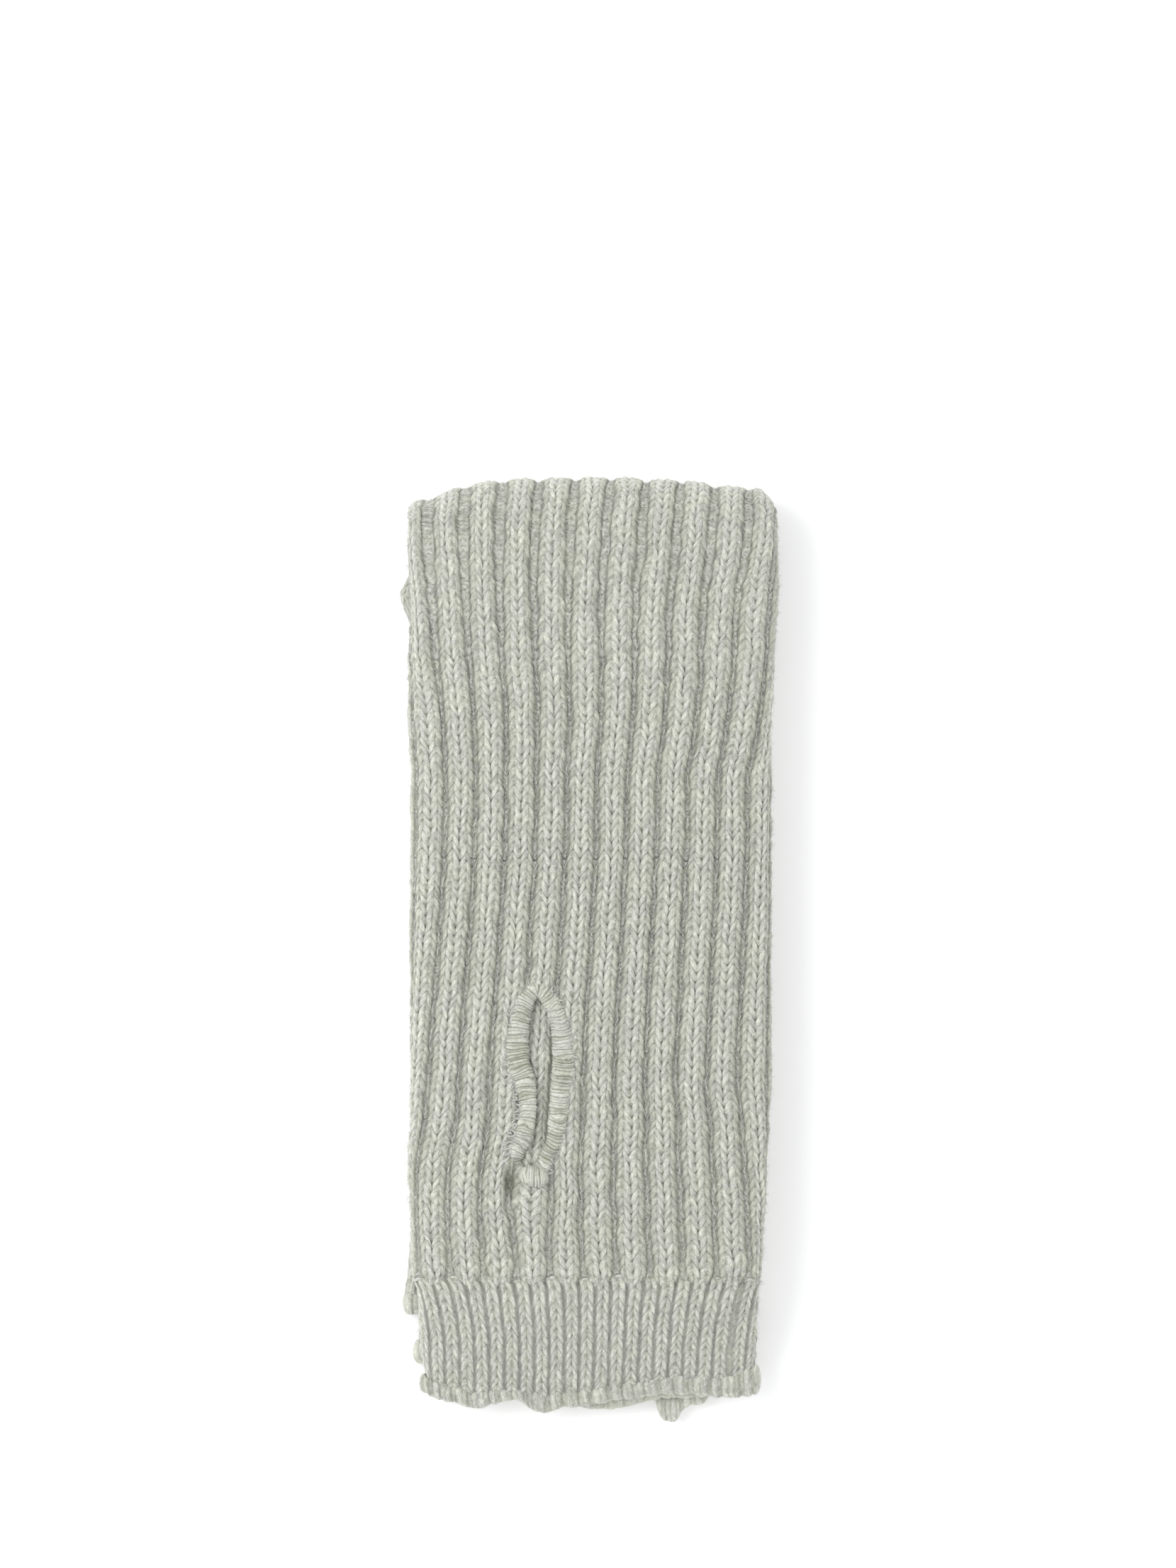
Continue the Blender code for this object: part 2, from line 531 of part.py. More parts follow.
def inner_layers(material):
    """Everything between the outer tube's walls, as one solid with layered sides and ends."""
    def section(y, turn, outer_share, leg_share):
        centre = column(INNER, LOWER_COLUMNS, "centre", y)
        half = column(INNER, LOWER_COLUMNS, "half_width", y)
        _, outer_centre, outer_half = tube_section(y, turn, np.zeros(1))
        slack = 0.9 * sin(turn)
        profile = layer_profile(centre, half, outer_centre, outer_half, outer_share, leg_share, slack)
        if turn == 0.0:
            profile[1:4, 0] -= poking_out(y)
        x, rho = profile[:, 0], profile[:, 1]
        bent = toward_roll(x, y, -1.0, INNER_HEM_Y - 3.0, INNER_CUFF_END_Y, INNER_CUFF_ROLL)
        return settle(in_stack(x, rho, bent, turn))

    ends = [
        INNER_CUFF_END_Y, -116.0, -113.5, -111.3, INNER_HEM_Y - 0.2,
        INNER_HEM_Y, -104.0, -101.5, -98.0, OUTER_HEM_Y - 0.3,
    ]
    legs = [CUFF_SEAM_Y + 0.6, -80.0, -60.0, -30.0, 0.0, 30.0, 60.0, 84.0, 91.0, 95.4, 100.0, 106.0]
    upper, lower = [], []
    for y in ends:
        upper.append(section(y, 0.0, 0.0, 1.0))
        lower.append(section(y, pi, 0.0, 1.0 if y >= INNER_HEM_Y else 0.0))
    upper.append(section(CUFF_SEAM_Y + 0.3, 0.0, 0.0, 1.0))
    lower.append(section(CUFF_SEAM_Y + 0.3, pi, 1.0, 1.0))
    for y in [*legs, FOLD_AXIS_Y]:
        upper.append(section(y, 0.0, 1.0, 1.0))
        lower.append(section(y, pi, 1.0, 1.0))
    fold = [section(FOLD_AXIS_Y, turn, 1.0, 1.0) for turn in np.linspace(0.0, pi, 9)[1:-1]]
    mesh = bmesh.new()
    rows = add_grid(mesh, upper + fold + lower[::-1])
    first, last = rows[0], rows[-1]
    for a, b, c, d in zip(first, first[1:], last[1:], last):
        mesh.faces.new((a, b, c, d))
    return finish_solid("inner_layers", mesh, material)


def clear_scene():
    for old in list(bpy.data.objects):
        bpy.data.objects.remove(old)


def main():
    clear_scene()
    yarn = make_material("rib_knit", YARN_COLOUR)
    thread = make_material("edge_thread", THREAD_COLOUR)
    outer_rib_tube(yarn)
    outer_hand_cuff(yarn)
    thumb_edge(thread)
    inner_layers(yarn)
    narrow_pitch = 4.15
    rolled_edge("outer_cuff_edge", OUTER_CUFF_ROLL, 3, (-47.4, 45.8), 66, 28, narrow_pitch, 8, ROLL_PROUD, yarn)
    rolled_edge("inner_cuff_edge", INNER_CUFF_ROLL, 2, (-46.2, 44.0), 30, 26, 30.0, 6, 0.0, yarn)
    rolled_edge("inner_arm_edge", INNER_ARM_ROLL, 1, (-48.6, 44.6), 26, 24, 30.0, 6, 0.0, yarn)
    rolled_edge("outer_arm_edge", OUTER_ARM_ROLL, 0, (-51.6, 44.8), 26, 24, 30.0, 6, 0.0, yarn)


main()
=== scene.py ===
# %% [markdown]
# # A folded pair of ribbed arm warmers
# Two long fingerless gloves of soft grey-green wool lie on each other, folded in half. Everything
# here is knitting, so the lesson is about one question: how does a flat grid of points become
# cloth whose every stitch can be seen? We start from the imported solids, which give the true size
# and place, and dress them with stitches.

# %% Load the frame and keep its box
from math import pi
from types import SimpleNamespace

import bpy
import numpy as np
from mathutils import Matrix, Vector


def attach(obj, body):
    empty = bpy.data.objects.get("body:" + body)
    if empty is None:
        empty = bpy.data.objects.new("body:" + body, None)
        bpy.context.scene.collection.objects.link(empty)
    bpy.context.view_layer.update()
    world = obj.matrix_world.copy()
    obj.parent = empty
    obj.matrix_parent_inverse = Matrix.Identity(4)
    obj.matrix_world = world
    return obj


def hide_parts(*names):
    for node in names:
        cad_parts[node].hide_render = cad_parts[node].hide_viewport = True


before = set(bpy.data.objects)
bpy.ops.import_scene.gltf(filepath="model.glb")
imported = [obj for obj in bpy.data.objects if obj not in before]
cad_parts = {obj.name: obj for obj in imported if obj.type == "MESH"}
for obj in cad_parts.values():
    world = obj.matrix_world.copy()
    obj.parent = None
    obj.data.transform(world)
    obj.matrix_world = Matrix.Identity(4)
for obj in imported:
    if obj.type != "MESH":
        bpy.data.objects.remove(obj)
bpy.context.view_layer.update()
MM = 0.001

# %% [markdown]
# ## The folded stack
# On the real pair four flattened tubes lie on each other: the outer arm warmer wraps round the
# inner one. A point is easiest to place in a straight stack, by its radius from the fold's axis.
# A second function then lets the stack lie down: lower at its sides and at the open ends, where
# the tubes stop one after another. The tables are the solids' own, in millimetres, and each one's
# first row names its columns.

# %% Sizes of the stack
TUBE, MIDDLE, EDGE_RADIUS, TUCK = 6.5, 13.0, 3.25, 1.5
STACK = 2 * MIDDLE
FOLD_AXIS_Y, FOLD_TIP_Y = 114.7, 127.7
CUFF_SEAM_Y, CUFF_END_Y, OUTER_HEM_Y = -91.3, -119.6, -94.4
INNER_HEM_Y, INNER_CUFF_END_Y = -108.3, -118.4
ORIGIN = np.array([-0.965, -1.61, 0.0])
SIDE_DROP, SIDE_X = 0.13, 51.0
OUTLINE = ("centre", "half_width")

STATIONS = (
    ("y", "centre", "half_width", "first", "pitch", "bow"),
    (127.3, 0.1, 51.0, -45.3, 9.73, 1.9), (111.0, 0.1, 51.0, -44.8, 9.65, 0.4),
    (93.4, 0.3, 50.6, -43.5, 9.24, 0.0), (75.9, -0.4, 50.1, -42.3, 8.99, 0.0),
    (58.3, -0.5, 49.8, -40.4, 8.56, 0.0), (42.7, -0.1, 49.6, -39.8, 8.23, 0.0),
    (-35.3, -0.5, 49.6, -44.5, 8.42, 0.0), (-48.9, -0.5, 49.4, -45.6, 8.64, 0.0),
    (-60.6, -1.2, 49.3, -47.8, 8.93, 0.0), (-72.3, -1.0, 48.8, -48.6, 9.09, 0.0),
    (-89.9, -1.4, 47.8, -47.6, 9.05, 0.0), (-97.7, -1.0, 46.6, -47.2, 8.64, 0.0),
    (-109.4, -1.0, 46.3, -44.9, 8.31, 0.0), (-119.6, -0.4, 45.2, -45.6, 8.31, 0.0),
)
UNDERSIDE = (
    ("y", *OUTLINE), (114.7, 0.1, 51.0), (102.5, 0.05, 50.6), (95.0, -1.2, 51.8),
    (86.5, -0.1, 50.2), (60.0, -0.2, 49.4), (-60.0, -1.6, 48.4), (-82.0, -2.0, 48.5),
    (-90.0, -2.4, 48.7), (-96.4, -3.0, 49.0),
)
INNER = (
    ("y", *OUTLINE), (114.7, 0.0, 49.6), (40.0, -0.2, 48.8), (-70.0, -0.9, 47.6),
    (-90.0, -1.2, 46.4), (-125.0, -0.9, 44.6),
)
LEVELS = (
    ("y", "z1", "z2", "z3", "z4"), (-78.0, 6.5, 13.0, 19.5, 26.0), (-92.0, 6.2, 12.4, 18.7, 25.0),
    (-100.0, 5.3, 11.1, 17.1, 23.2), (-106.0, 2.4, 8.2, 14.0, 19.9), (-112.0, 0.3, 5.6, 11.2, 16.9),
    (-118.0, 0.0, 2.4, 8.0, 13.7), (-124.0, 0.0, 0.2, 5.9, 11.7), (-134.0, 0.0, 0.0, 5.7, 11.4),
)
FOLD_TIP = (
    ("x", "tip_y"), (-52.0, 117.5), (-48.6, 121.0), (-43.0, 122.4), (-36.0, 125.2), (-24.0, 127.0),
    (2.0, 127.7), (24.0, 126.9), (36.0, 125.2), (45.0, 124.8), (49.0, 121.8), (52.0, 118.0),
)


# %% Read a table smoothly and lay the stack down
def unit(x):
    """x, kept between 0 and 1."""
    return np.clip(x, 0, 1)


def column(table, name, at):
    """One named column of a table, read between its rows by cubic pieces. Each slope is the harmonic
    mean of the steps beside it, so the curve never swings past its points."""
    rows = np.array(sorted(table[1:]))
    keys, values = rows[:, 0], rows[:, table[0].index(name)]
    steps = np.diff(values) / np.diff(keys)
    both = steps[1:] * steps[:-1]
    level = np.where(both > 0, 2 * both / (steps[1:] + steps[:-1] + (both <= 0)), 0.0)
    slopes = np.concatenate([steps[:1], level, steps[-1:]])
    at = np.clip(np.asarray(at, float), keys[0], keys[-1])
    i = np.clip(np.searchsorted(keys, at) - 1, 0, len(keys) - 2)
    span = keys[i + 1] - keys[i]
    t = (at - keys[i]) / span
    return (
        (2 * t**3 - 3 * t**2 + 1) * values[i]
        + (t**3 - 2 * t**2 + t) * slopes[i] * span
        + (3 * t**2 - 2 * t**3) * values[i + 1]
        + (t**3 - t**2) * slopes[i + 1] * span
    )


def columns(table, names, at):
    """Several columns of one table."""
    return [column(table, name, at) for name in names]


def directed(vectors, least=0.0):
    """Vectors divided by their lengths; least keeps the shortest ones finite."""
    return vectors / (np.linalg.norm(vectors, axis=-1, keepdims=True) + least)


def settle(x, y, z):
    """From the straight stack, in mm, to the lying pair, in metres. The fold's tip stretches y, the four
    levels squeeze z, and the sides lie lower by the fourth power of x."""
    nose = (column(FOLD_TIP, "tip_y", x) - FOLD_AXIS_Y) / MIDDLE
    laid_y = np.where(y > FOLD_AXIS_Y, FOLD_AXIS_Y + (y - FOLD_AXIS_Y) * nose, y)
    laid_z = np.maximum(z - STACK, 0.0)
    low = 0.0
    for k, high in enumerate(columns(LEVELS, LEVELS[0][1:], y)):
        laid_z = laid_z + (high - low) * unit(z / TUBE - k)
        low = high
    side = 1.0 - SIDE_DROP * np.minimum(np.abs(x) / SIDE_X, 1.1) ** 4
    return (np.stack(np.broadcast_arrays(x, laid_y, laid_z * side), axis=-1) - ORIGIN) * MM


# %% [markdown]
# ## The outer tube as a path and a section
# The outer arm warmer runs from the cuff seam over the fold to its arm end underneath. One number
# says how far along that path a point is, another how far across the cloth. The section turns half
# round at the sides and tucks back in, which gives the pair its soft, layered edges.

# %% Path and section
TOP_LENGTH = FOLD_AXIS_Y - CUFF_SEAM_Y
FOLD_LENGTH = pi * MIDDLE
TUBE_LENGTH = TOP_LENGTH + FOLD_LENGTH + FOLD_AXIS_Y - OUTER_HEM_Y
RIBS = (-2, 12)
FACE_LEFT, FACE_RIGHT = -0.5, 10.25
BOW_RIB, BOW_RIBS = 4.5, 5.5
SLIT_RIB, SLIT_RIBS, SLIT_SPREAD, SLIT_END_Y, SLIT_END_LENGTH = 3.5, 0.8, 3.9, -67.0, 10.0


def photo_xy(points):
    """x and y of points, in mm, back in the photo's frame."""
    return points[..., :2] / MM + ORIGIN[:2]


def along(t):
    """Distance t along the tube, as y of the leg and the turn round the fold, 0 on top to pi below."""
    turn = np.clip((t - TOP_LENGTH) / MIDDLE, 0.0, pi)
    back = np.maximum(t - TOP_LENGTH - FOLD_LENGTH, 0.0)
    return np.where(t < TOP_LENGTH, CUFF_SEAM_Y + t, FOLD_AXIS_Y - back), turn


def section_at(t):
    """Centre line, half width and the height that ribs are read at, for each t. Round the fold the
    upper side's sizes go over into the underside's, by the share of the turn."""
    y, turn = along(t)
    read_y = y + MIDDLE * np.sin(np.minimum(turn, pi / 2))
    share = turn / pi
    both = zip(columns(STATIONS, OUTLINE, read_y), columns(UNDERSIDE, OUTLINE, y))
    pair = [top * (1 - share) + low * share for top, low in both]
    return *pair, np.where(turn < pi, read_y, FOLD_TIP_Y)


def valley_x(rib, y):
    """Where rib number rib starts: first + pitch * rib + bow, spread a little round the slit's end."""
    first, pitch, bow = columns(STATIONS, ("first", "pitch", "bow"), y)
    side = rib - SLIT_RIB
    spread = SLIT_SPREAD * side * np.exp(-((side / SLIT_RIBS) ** 2))
    spread = spread * np.exp(-(((y - SLIT_END_Y) / SLIT_END_LENGTH) ** 2))
    return first + pitch * rib + bow * (1 - ((rib - BOW_RIB) / BOW_RIBS) ** 2) + spread


def side_profile(across, centre, half, inward):
    """Flat, then half round at the side, then back underneath: x, and the radius from the fold's axis."""
    flat, size = half - EDGE_RADIUS, np.abs(across)
    angle, radius = np.clip((size - flat) / EDGE_RADIUS, 0.0, pi), EDGE_RADIUS - inward
    x = np.minimum(size, flat) + radius * np.sin(angle) - np.maximum(size - flat - pi * EDGE_RADIUS, 0.0)
    return centre + np.sign(across) * x, MIDDLE - EDGE_RADIUS + radius * np.cos(angle)


def tube_points(rib, t, inward):
    """Points of the outer tube's cloth at rib number and distance t, moved inward from its face.
    Ribs outside the face share out what is left of the section at each side."""
    y, turn = along(t)
    centre, half, rib_y = section_at(t)
    end = half + (pi - 1) * EDGE_RADIUS + TUCK
    left, right = valley_x(FACE_LEFT, rib_y) - centre, valley_x(FACE_RIGHT, rib_y) - centre
    across = valley_x(np.clip(rib, FACE_LEFT, FACE_RIGHT), rib_y) - centre
    beyond = left + (left + end) * (rib - FACE_LEFT) / (FACE_LEFT - RIBS[0])
    across = np.where(rib < FACE_LEFT, beyond, across)
    beyond = right + (end - right) * (rib - FACE_RIGHT) / (RIBS[1] - FACE_RIGHT)
    across = np.where(rib > FACE_RIGHT, beyond, across)
    x, rho = side_profile(across, centre, half, inward)
    return settle(x, y + rho * np.sin(turn), MIDDLE + rho * np.cos(turn))


print("tube path, mm:", round(TUBE_LENGTH, 1))

# %% [markdown]
# ## How a knit stitch becomes a grid
# A knit column is a stack of slanted strands: from the column's middle each one falls outward to
# both sides, so a row looks like a roof. If the grid's rows were straight, every crease between two
# strands would cut across them and need a very fine mesh. Sheared rows follow the strands instead,
# so six rows of points to a stitch are enough for a round strand with a crease beside it.

# %% One rib's columns and one stitch's rows
ROW = 2.6
FALL = 2.8
PURL_CELLS, KNIT_CELLS = 2, 8
RIB_CELLS = 2 * (PURL_CELLS + KNIT_CELLS)
STITCH_PLACES = np.array([0.0, 0.14, 0.33, 0.5, 0.67, 0.86])
COARSE_PLACES = np.array([0.0, 0.3, 0.7])
LATTICE = 64
END_ROWS = 1.9


def knit_layout(start, stop, knit_columns, cells=np.s_[:]):
    """Columns of points, 20 cells to a rib, for ribs start to stop; cells picks some of them.

    A wide rib (2 knit columns) has 4 cells of purl valley and then 16 of knit. In a narrow one (1)
    each half rib has 2 cells of valley and 8 of knit. u runs from 0 at a knit column's middle to 1
    at its side. valley_place runs from -1 to 1 across the valley."""
    cell = np.arange((stop - start) * RIB_CELLS + 1)
    purl_cells, knit_cells = PURL_CELLS * knit_columns, KNIT_CELLS * knit_columns
    inside = cell % (purl_cells + knit_cells)
    valley = inside <= purl_cells
    knit = np.where(valley, 0, inside - purl_cells)
    leg = knit % KNIT_CELLS - KNIT_CELLS // 2
    group = start * 2 // knit_columns + cell // (purl_cells + knit_cells)
    shape = dict(
        group=group, wale=knit_columns * group + (knit >= KNIT_CELLS), knit_share=knit / knit_cells,
        valley=valley, valley_place=np.where(valley, 2 * inside / purl_cells - 1, 0.0),
        u=np.where(valley, 1.0, 2 * np.abs(leg) / KNIT_CELLS), side=np.where(valley, 0, np.sign(leg)),
    )
    return SimpleNamespace(**{key: value[None, cells] for key, value in shape.items()})


def stitch_rows(first, last, places=STITCH_PLACES):
    """Row numbers, in stitches, from first to last, with the given places in each stitch, as a column."""
    return np.append((np.arange(first, last)[:, None] + places).ravel(), last)[:, None]


def level_ends(row, last, first_span=END_ROWS, last_span=END_ROWS):
    """1 along a piece and 0 at its two ends, where the strands lie level, so that the end is straight."""
    return unit(row / first_span) * unit((last - row) / last_span)


def strand(v):
    """A strand's round back over its width: (1 - |2v - 1|^2.4)^0.8, with v from crease to crease."""
    return (1 - np.abs(2 * (v % 1.0) - 1) ** 2.4) ** 0.8


def wander(u, v, seed):
    """Soft noise from -1 to 1: seeded values on a lattice of whole numbers, joined by smooth steps."""
    values = np.random.default_rng(seed).uniform(-1, 1, (LATTICE, LATTICE))
    i, j = np.floor(u).astype(int), np.floor(v).astype(int)
    a, b = u - i, v - j
    a, b = a * a * (3 - 2 * a), b * b * (3 - 2 * b)
    i, j, right, up = i % LATTICE, j % LATTICE, (i + 1) % LATTICE, (j + 1) % LATTICE
    low = values[i, j] * (1 - a) + values[right, j] * a
    high = values[i, up] * (1 - a) + values[right, up] * a
    return low * (1 - b) + high * b


def each_stitch(wale, row, seed):
    """One steady random number, 0 to 1, for every stitch, from a seeded table that repeats far apart."""
    values = np.random.default_rng(seed).uniform(0, 1, (97, 101))
    return values[wale % 97, np.floor(row + 1e-6).astype(int) % 101]


print("cells in a rib:", RIB_CELLS, "rows in a stitch:", len(STITCH_PLACES))

# %% [markdown]
# ## Writing meshes
# Every piece here is a grid of points and a few groups of faces, so one function can write them
# all. It takes whole arrays, drops unused points, turns the faces outward by the sign of the
# volume they enclose, and keeps three things for the wool: the place along and across the strand,
# the stitch's tone, and the painted light, which is painted shade from 0 deep in a hollow to 1 on top.

# %% Arrays to mesh
def put_mesh(name, points, groups, uv, tone, painted_light):
    """points: metres, a grid of any shape. groups: arrays of faces, each with its own number of
    corners. uv's two parts, the tone and the painted light, which is painted shade from 0 deep in a
    hollow to 1 on top: values that spread over the same grid."""
    shape, points = points.shape[:-1], points.reshape(-1, 3)
    groups = [g for g in groups if len(g)]
    volume = sum(
        np.einsum("ij,ij->", points[g[:, 0]], np.cross(points[g[:, k]], points[g[:, k + 1]]))
        for g in groups for k in range(1, g.shape[1] - 1)
    )
    if volume < 0:
        groups = [g[:, ::-1] for g in groups]
    used, corner = np.unique(np.concatenate([g.ravel() for g in groups]), return_inverse=True)
    corner = corner.ravel()
    sizes = np.concatenate([np.full(len(g), g.shape[1]) for g in groups])
    starts = np.concatenate([[0], np.cumsum(sizes)[:-1]])
    spread = lambda values: np.broadcast_to(values, shape).ravel()[used]
    mesh = bpy.data.meshes.new(name)
    mesh.vertices.add(len(used))
    mesh.vertices.foreach_set("co", points[used].astype(np.float32).ravel())
    mesh.loops.add(len(corner))
    mesh.loops.foreach_set("vertex_index", corner.astype(np.int32))
    mesh.polygons.add(len(sizes))
    mesh.polygons.foreach_set("loop_start", starts.astype(np.int32))
    mesh.update(calc_edges=True)
    for label, values in (("tone", tone), ("painted_light", painted_light)):
        layer = mesh.attributes.new(label, "FLOAT", "POINT")
        layer.data.foreach_set("value", spread(values).astype(np.float32))
    place = np.stack([spread(part) for part in uv], axis=-1)[corner]
    mesh.uv_layers.new(name="strand").data.foreach_set("uv", place.astype(np.float32).ravel())
    mesh.shade_smooth()
    piece = bpy.data.objects.new(name, mesh)
    bpy.context.scene.collection.objects.link(piece)
    print(name, "triangles:", int((sizes - 2).sum()))
    return piece


def quads(g):
    """Faces between neighbouring rows and columns of a grid, or a stack of grids, of point numbers."""
    corners = [g[..., :-1, :-1], g[..., :-1, 1:], g[..., 1:, 1:], g[..., 1:, :-1]]
    return np.stack(corners, -1).reshape(-1, 4)


def tubes(name, points, uv, tone, painted_light, closed):
    """Tubes that are all alike. points: tubes x sections x places round a section. A closed tube runs
    in a ring, so its last section joins its first; an open one has a face over each end."""
    grid = np.arange(points[..., 0].size).reshape(points.shape[:-1])
    ends = [] if closed else [grid[:, 0, ::-1], grid[:, -1]]
    grid = np.concatenate([grid, grid[:, :1]], axis=1) if closed else grid
    grid = np.concatenate([grid, grid[..., :1]], axis=2)
    return put_mesh(name, points, [quads(grid), *ends], uv, tone, painted_light)


# %% [markdown]
# ## Closing a sheet into cloth
# Knitted cloth has a thickness, and an export needs a closed skin. A Solidify modifier would copy
# the fine stitches onto the hidden back as well. Here the back is a much coarser grid, and a rim
# of many-sided faces joins its border to the fine front. The same rim walls off a hole, such as
# the thumb slit, wherever cells are left out.

# %% Build a closed cloth mesh
# The hidden back: coarser by BACK_STEP, with one tone and one level of painted shade.
BACK_STEP, BACK_TONE, BACK_PAINTED_LIGHT = 4, 0.5, 0.45


def cloth(name, front, back, uv, tone, painted_light, keep=None, wrap=False):
    """front: a grid of points. back: a coarser one. keep: the back's cells that are there. wrap: a tube."""
    front_size, back_size = front[..., 0].size, back[..., 0].size
    f = np.arange(front_size).reshape(front.shape[:2])
    b = front_size + np.arange(back_size).reshape(back.shape[:2])
    if wrap:
        f, b = np.hstack([f, f[:, :1]]), np.hstack([b, b[:, :1]])
    down, right = (f.shape[0] - 1) // (b.shape[0] - 1), (f.shape[1] - 1) // (b.shape[1] - 1)
    keep = np.ones((b.shape[0] - 1, b.shape[1] - 1), bool) if keep is None else keep
    fine = np.repeat(np.repeat(keep, down, axis=0), right, axis=1).ravel()
    groups = [quads(f)[fine], quads(b)[keep.ravel()][:, ::-1]]
    there = np.pad(keep, 1).astype(int)
    if wrap:
        there[:, 0], there[:, -1] = there[:, -2], there[:, 1]
    rim = there[:-1, 1:-1] - there[1:, 1:-1]
    i, j = np.nonzero(rim)
    front_edge = f[(i * down)[:, None], (j * right)[:, None] + np.arange(right + 1)]
    walls = np.hstack([front_edge, b[i, j + 1][:, None], b[i, j][:, None]])
    groups += [walls[rim[i, j] > 0], walls[rim[i, j] < 0][:, ::-1]]
    rim = there[1:-1, :-1] - there[1:-1, 1:]
    rim = rim[:, :-1] if wrap else rim
    i, j = np.nonzero(rim)
    front_edge = f[(i * down)[:, None] + np.arange(down + 1), (j * right)[:, None]]
    walls = np.hstack([front_edge, b[i + 1, j][:, None], b[i, j][:, None]])
    groups += [walls[rim[i, j] > 0][:, ::-1], walls[rim[i, j] < 0]]
    points = np.concatenate([front.reshape(-1, 3), back.reshape(-1, 3)])

    def whole(values, rest):
        """The front's values, and one number for the whole back."""
        return np.append(np.broadcast_to(values, front.shape[:2]).ravel(), np.full(back_size, rest))

    uv = [whole(part, 0.0) for part in uv]
    return put_mesh(name, points, groups, uv, whole(tone, BACK_TONE), whole(painted_light, BACK_PAINTED_LIGHT))


# %% [markdown]
# ## The thumb slit's outline
# The slit lies left of the middle, a long narrow opening with a bound edge. Its middle line is a
# closed curve through a short table of points. The ribs stop under that edge, so the curve also
# says which cells of the cloth are left out.

# %% The closed curve of the slit: x, y, width and how proud it stands
THUMB_EDGE = (
    (-14.6, -12.4, 4.0, 0.8), (-17.9, -15.2, 4.6, 0.8), (-19.6, -21.0, 5.4, 0.8),
    (-20.4, -27.5, 6.0, 0.8), (-20.0, -32.5, 6.0, 0.8), (-18.6, -36.6, 5.7, 0.8),
    (-17.7, -41.0, 5.1, 0.8), (-17.6, -46.8, 4.6, 0.8), (-18.7, -52.0, 4.9, 0.7),
    (-20.6, -56.0, 4.9, 0.2), (-21.2, -59.6, 4.0, -0.9), (-18.4, -62.6, 4.0, -0.9),
    (-15.6, -62.9, 4.4, 0.1), (-13.5, -61.0, 3.8, 0.4), (-12.0, -57.3, 3.9, 0.7),
    (-10.1, -53.0, 4.4, 0.8), (-9.2, -46.8, 4.9, 0.8), (-8.5, -40.5, 5.5, 0.8),
    (-7.7, -33.5, 6.0, 0.8), (-7.9, -26.0, 5.6, 0.8), (-9.2, -20.0, 5.0, 0.8),
    (-11.4, -15.2, 4.4, 0.8),
)


def thumb_ring(samples):
    """The edge's closed middle line by Catmull-Rom pieces, its outward side, width and proud height."""
    rows = np.array(THUMB_EDGE)
    place = np.linspace(0, len(rows), samples, endpoint=False)
    i, t = place.astype(int), (place % 1.0)[:, None]
    before, here, after, beyond = (rows[(i + k) % len(rows)] for k in (-1, 0, 1, 2))
    smooth = 0.5 * (
        2 * here + (after - before) * t + (2 * before - 5 * here + 4 * after - beyond) * t**2
        + (3 * here - before - 3 * after + beyond) * t**3
    )
    line = smooth[:, :2]
    run = directed(np.roll(line, -1, axis=0) - np.roll(line, 1, axis=0))
    outward = run[:, ::-1] * (1, -1)
    outward *= np.sign(np.sum(outward * (line - line.mean(0))))
    return line, outward, smooth[:, 2], smooth[:, 3]


def from_slit(spots):
    """Distance in mm from each spot to the slit's middle line, by the nearest of its points."""
    line = thumb_ring(150)[0]
    flat = spots.reshape(-1, 2)
    gap = np.min(np.hypot(flat[:, 0, None] - line[:, 0], flat[:, 1, None] - line[:, 1]), axis=1)
    return gap.reshape(spots.shape[:-1])


def outside_slit(spots):
    """True for spots outside the middle line: a ray to the right crosses it an even number of times."""
    line = thumb_ring(120)[0]
    after = np.roll(line, -1, axis=0)
    x, y = spots[..., 0, None], spots[..., 1, None]
    spans = (line[:, 1] > y) != (after[:, 1] > y)
    with np.errstate(divide="ignore", invalid="ignore"):
        crossing = line[:, 0] + (y - line[:, 1]) / (after[:, 1] - line[:, 1]) * (after[:, 0] - line[:, 0])
    return (spans & (x < crossing)).sum(-1) % 2 == 0


# %% [markdown]
# ## The wide ribs
# The arm is a two by two rib: two knit columns stand up, two purl columns sink into the valley
# between them. The knit columns keep their width, so where the cloth is pulled wider only the
# valley opens. The relief is a sum of plain shapes: the rib's round crown, the strands with their
# hollow where two columns meet, and the small bumps of the purl rows in the valley. Soft noise
# then moves each stitch a little, because hand-soft wool is never regular.

# %% Relief of the wide ribs
CROWN_DROP, CROWN_POWER = 1.05, 2.6
VALLEY_DEPTH, OPEN_VALLEY_DEPTH, FOLD_DEEPER = 1.75, 1.45, 0.6
KNIT_WIDTHS = ((40.0, 90.0, 120.0), (8.5, 7.95, 7.5))
DRAWN_LEFT, WIDER_AT_FOLD = 0.8, 1.2
LEG_PLACE = (0.0, 0.25, 0.5, 0.75, 1.0)
LEG_ROUND = (0.50, 0.36, 0.32, 0.42, 0.60)
LEG_SINK = (0.36, 0.05, 0.0, 0.14, 0.56)
LEG_HOLE = 0.4


def crown(shape):
    """How far a point of a rib lies from its middle, from 0 to 1 at its sides, to the power 2.6."""
    return np.abs(2 * shape.knit_share - 1) ** CROWN_POWER


def knit_relief(u, v):
    """Height of a strand: its round back, scaled and sunk by two tables along the leg, and an end hole."""
    scale, sink = np.interp(u, LEG_PLACE, LEG_ROUND), np.interp(u, LEG_PLACE, LEG_SINK)
    return scale * (strand(v) - 1) - sink - LEG_HOLE * unit(u * 4 - 3) * (1 - strand(v))


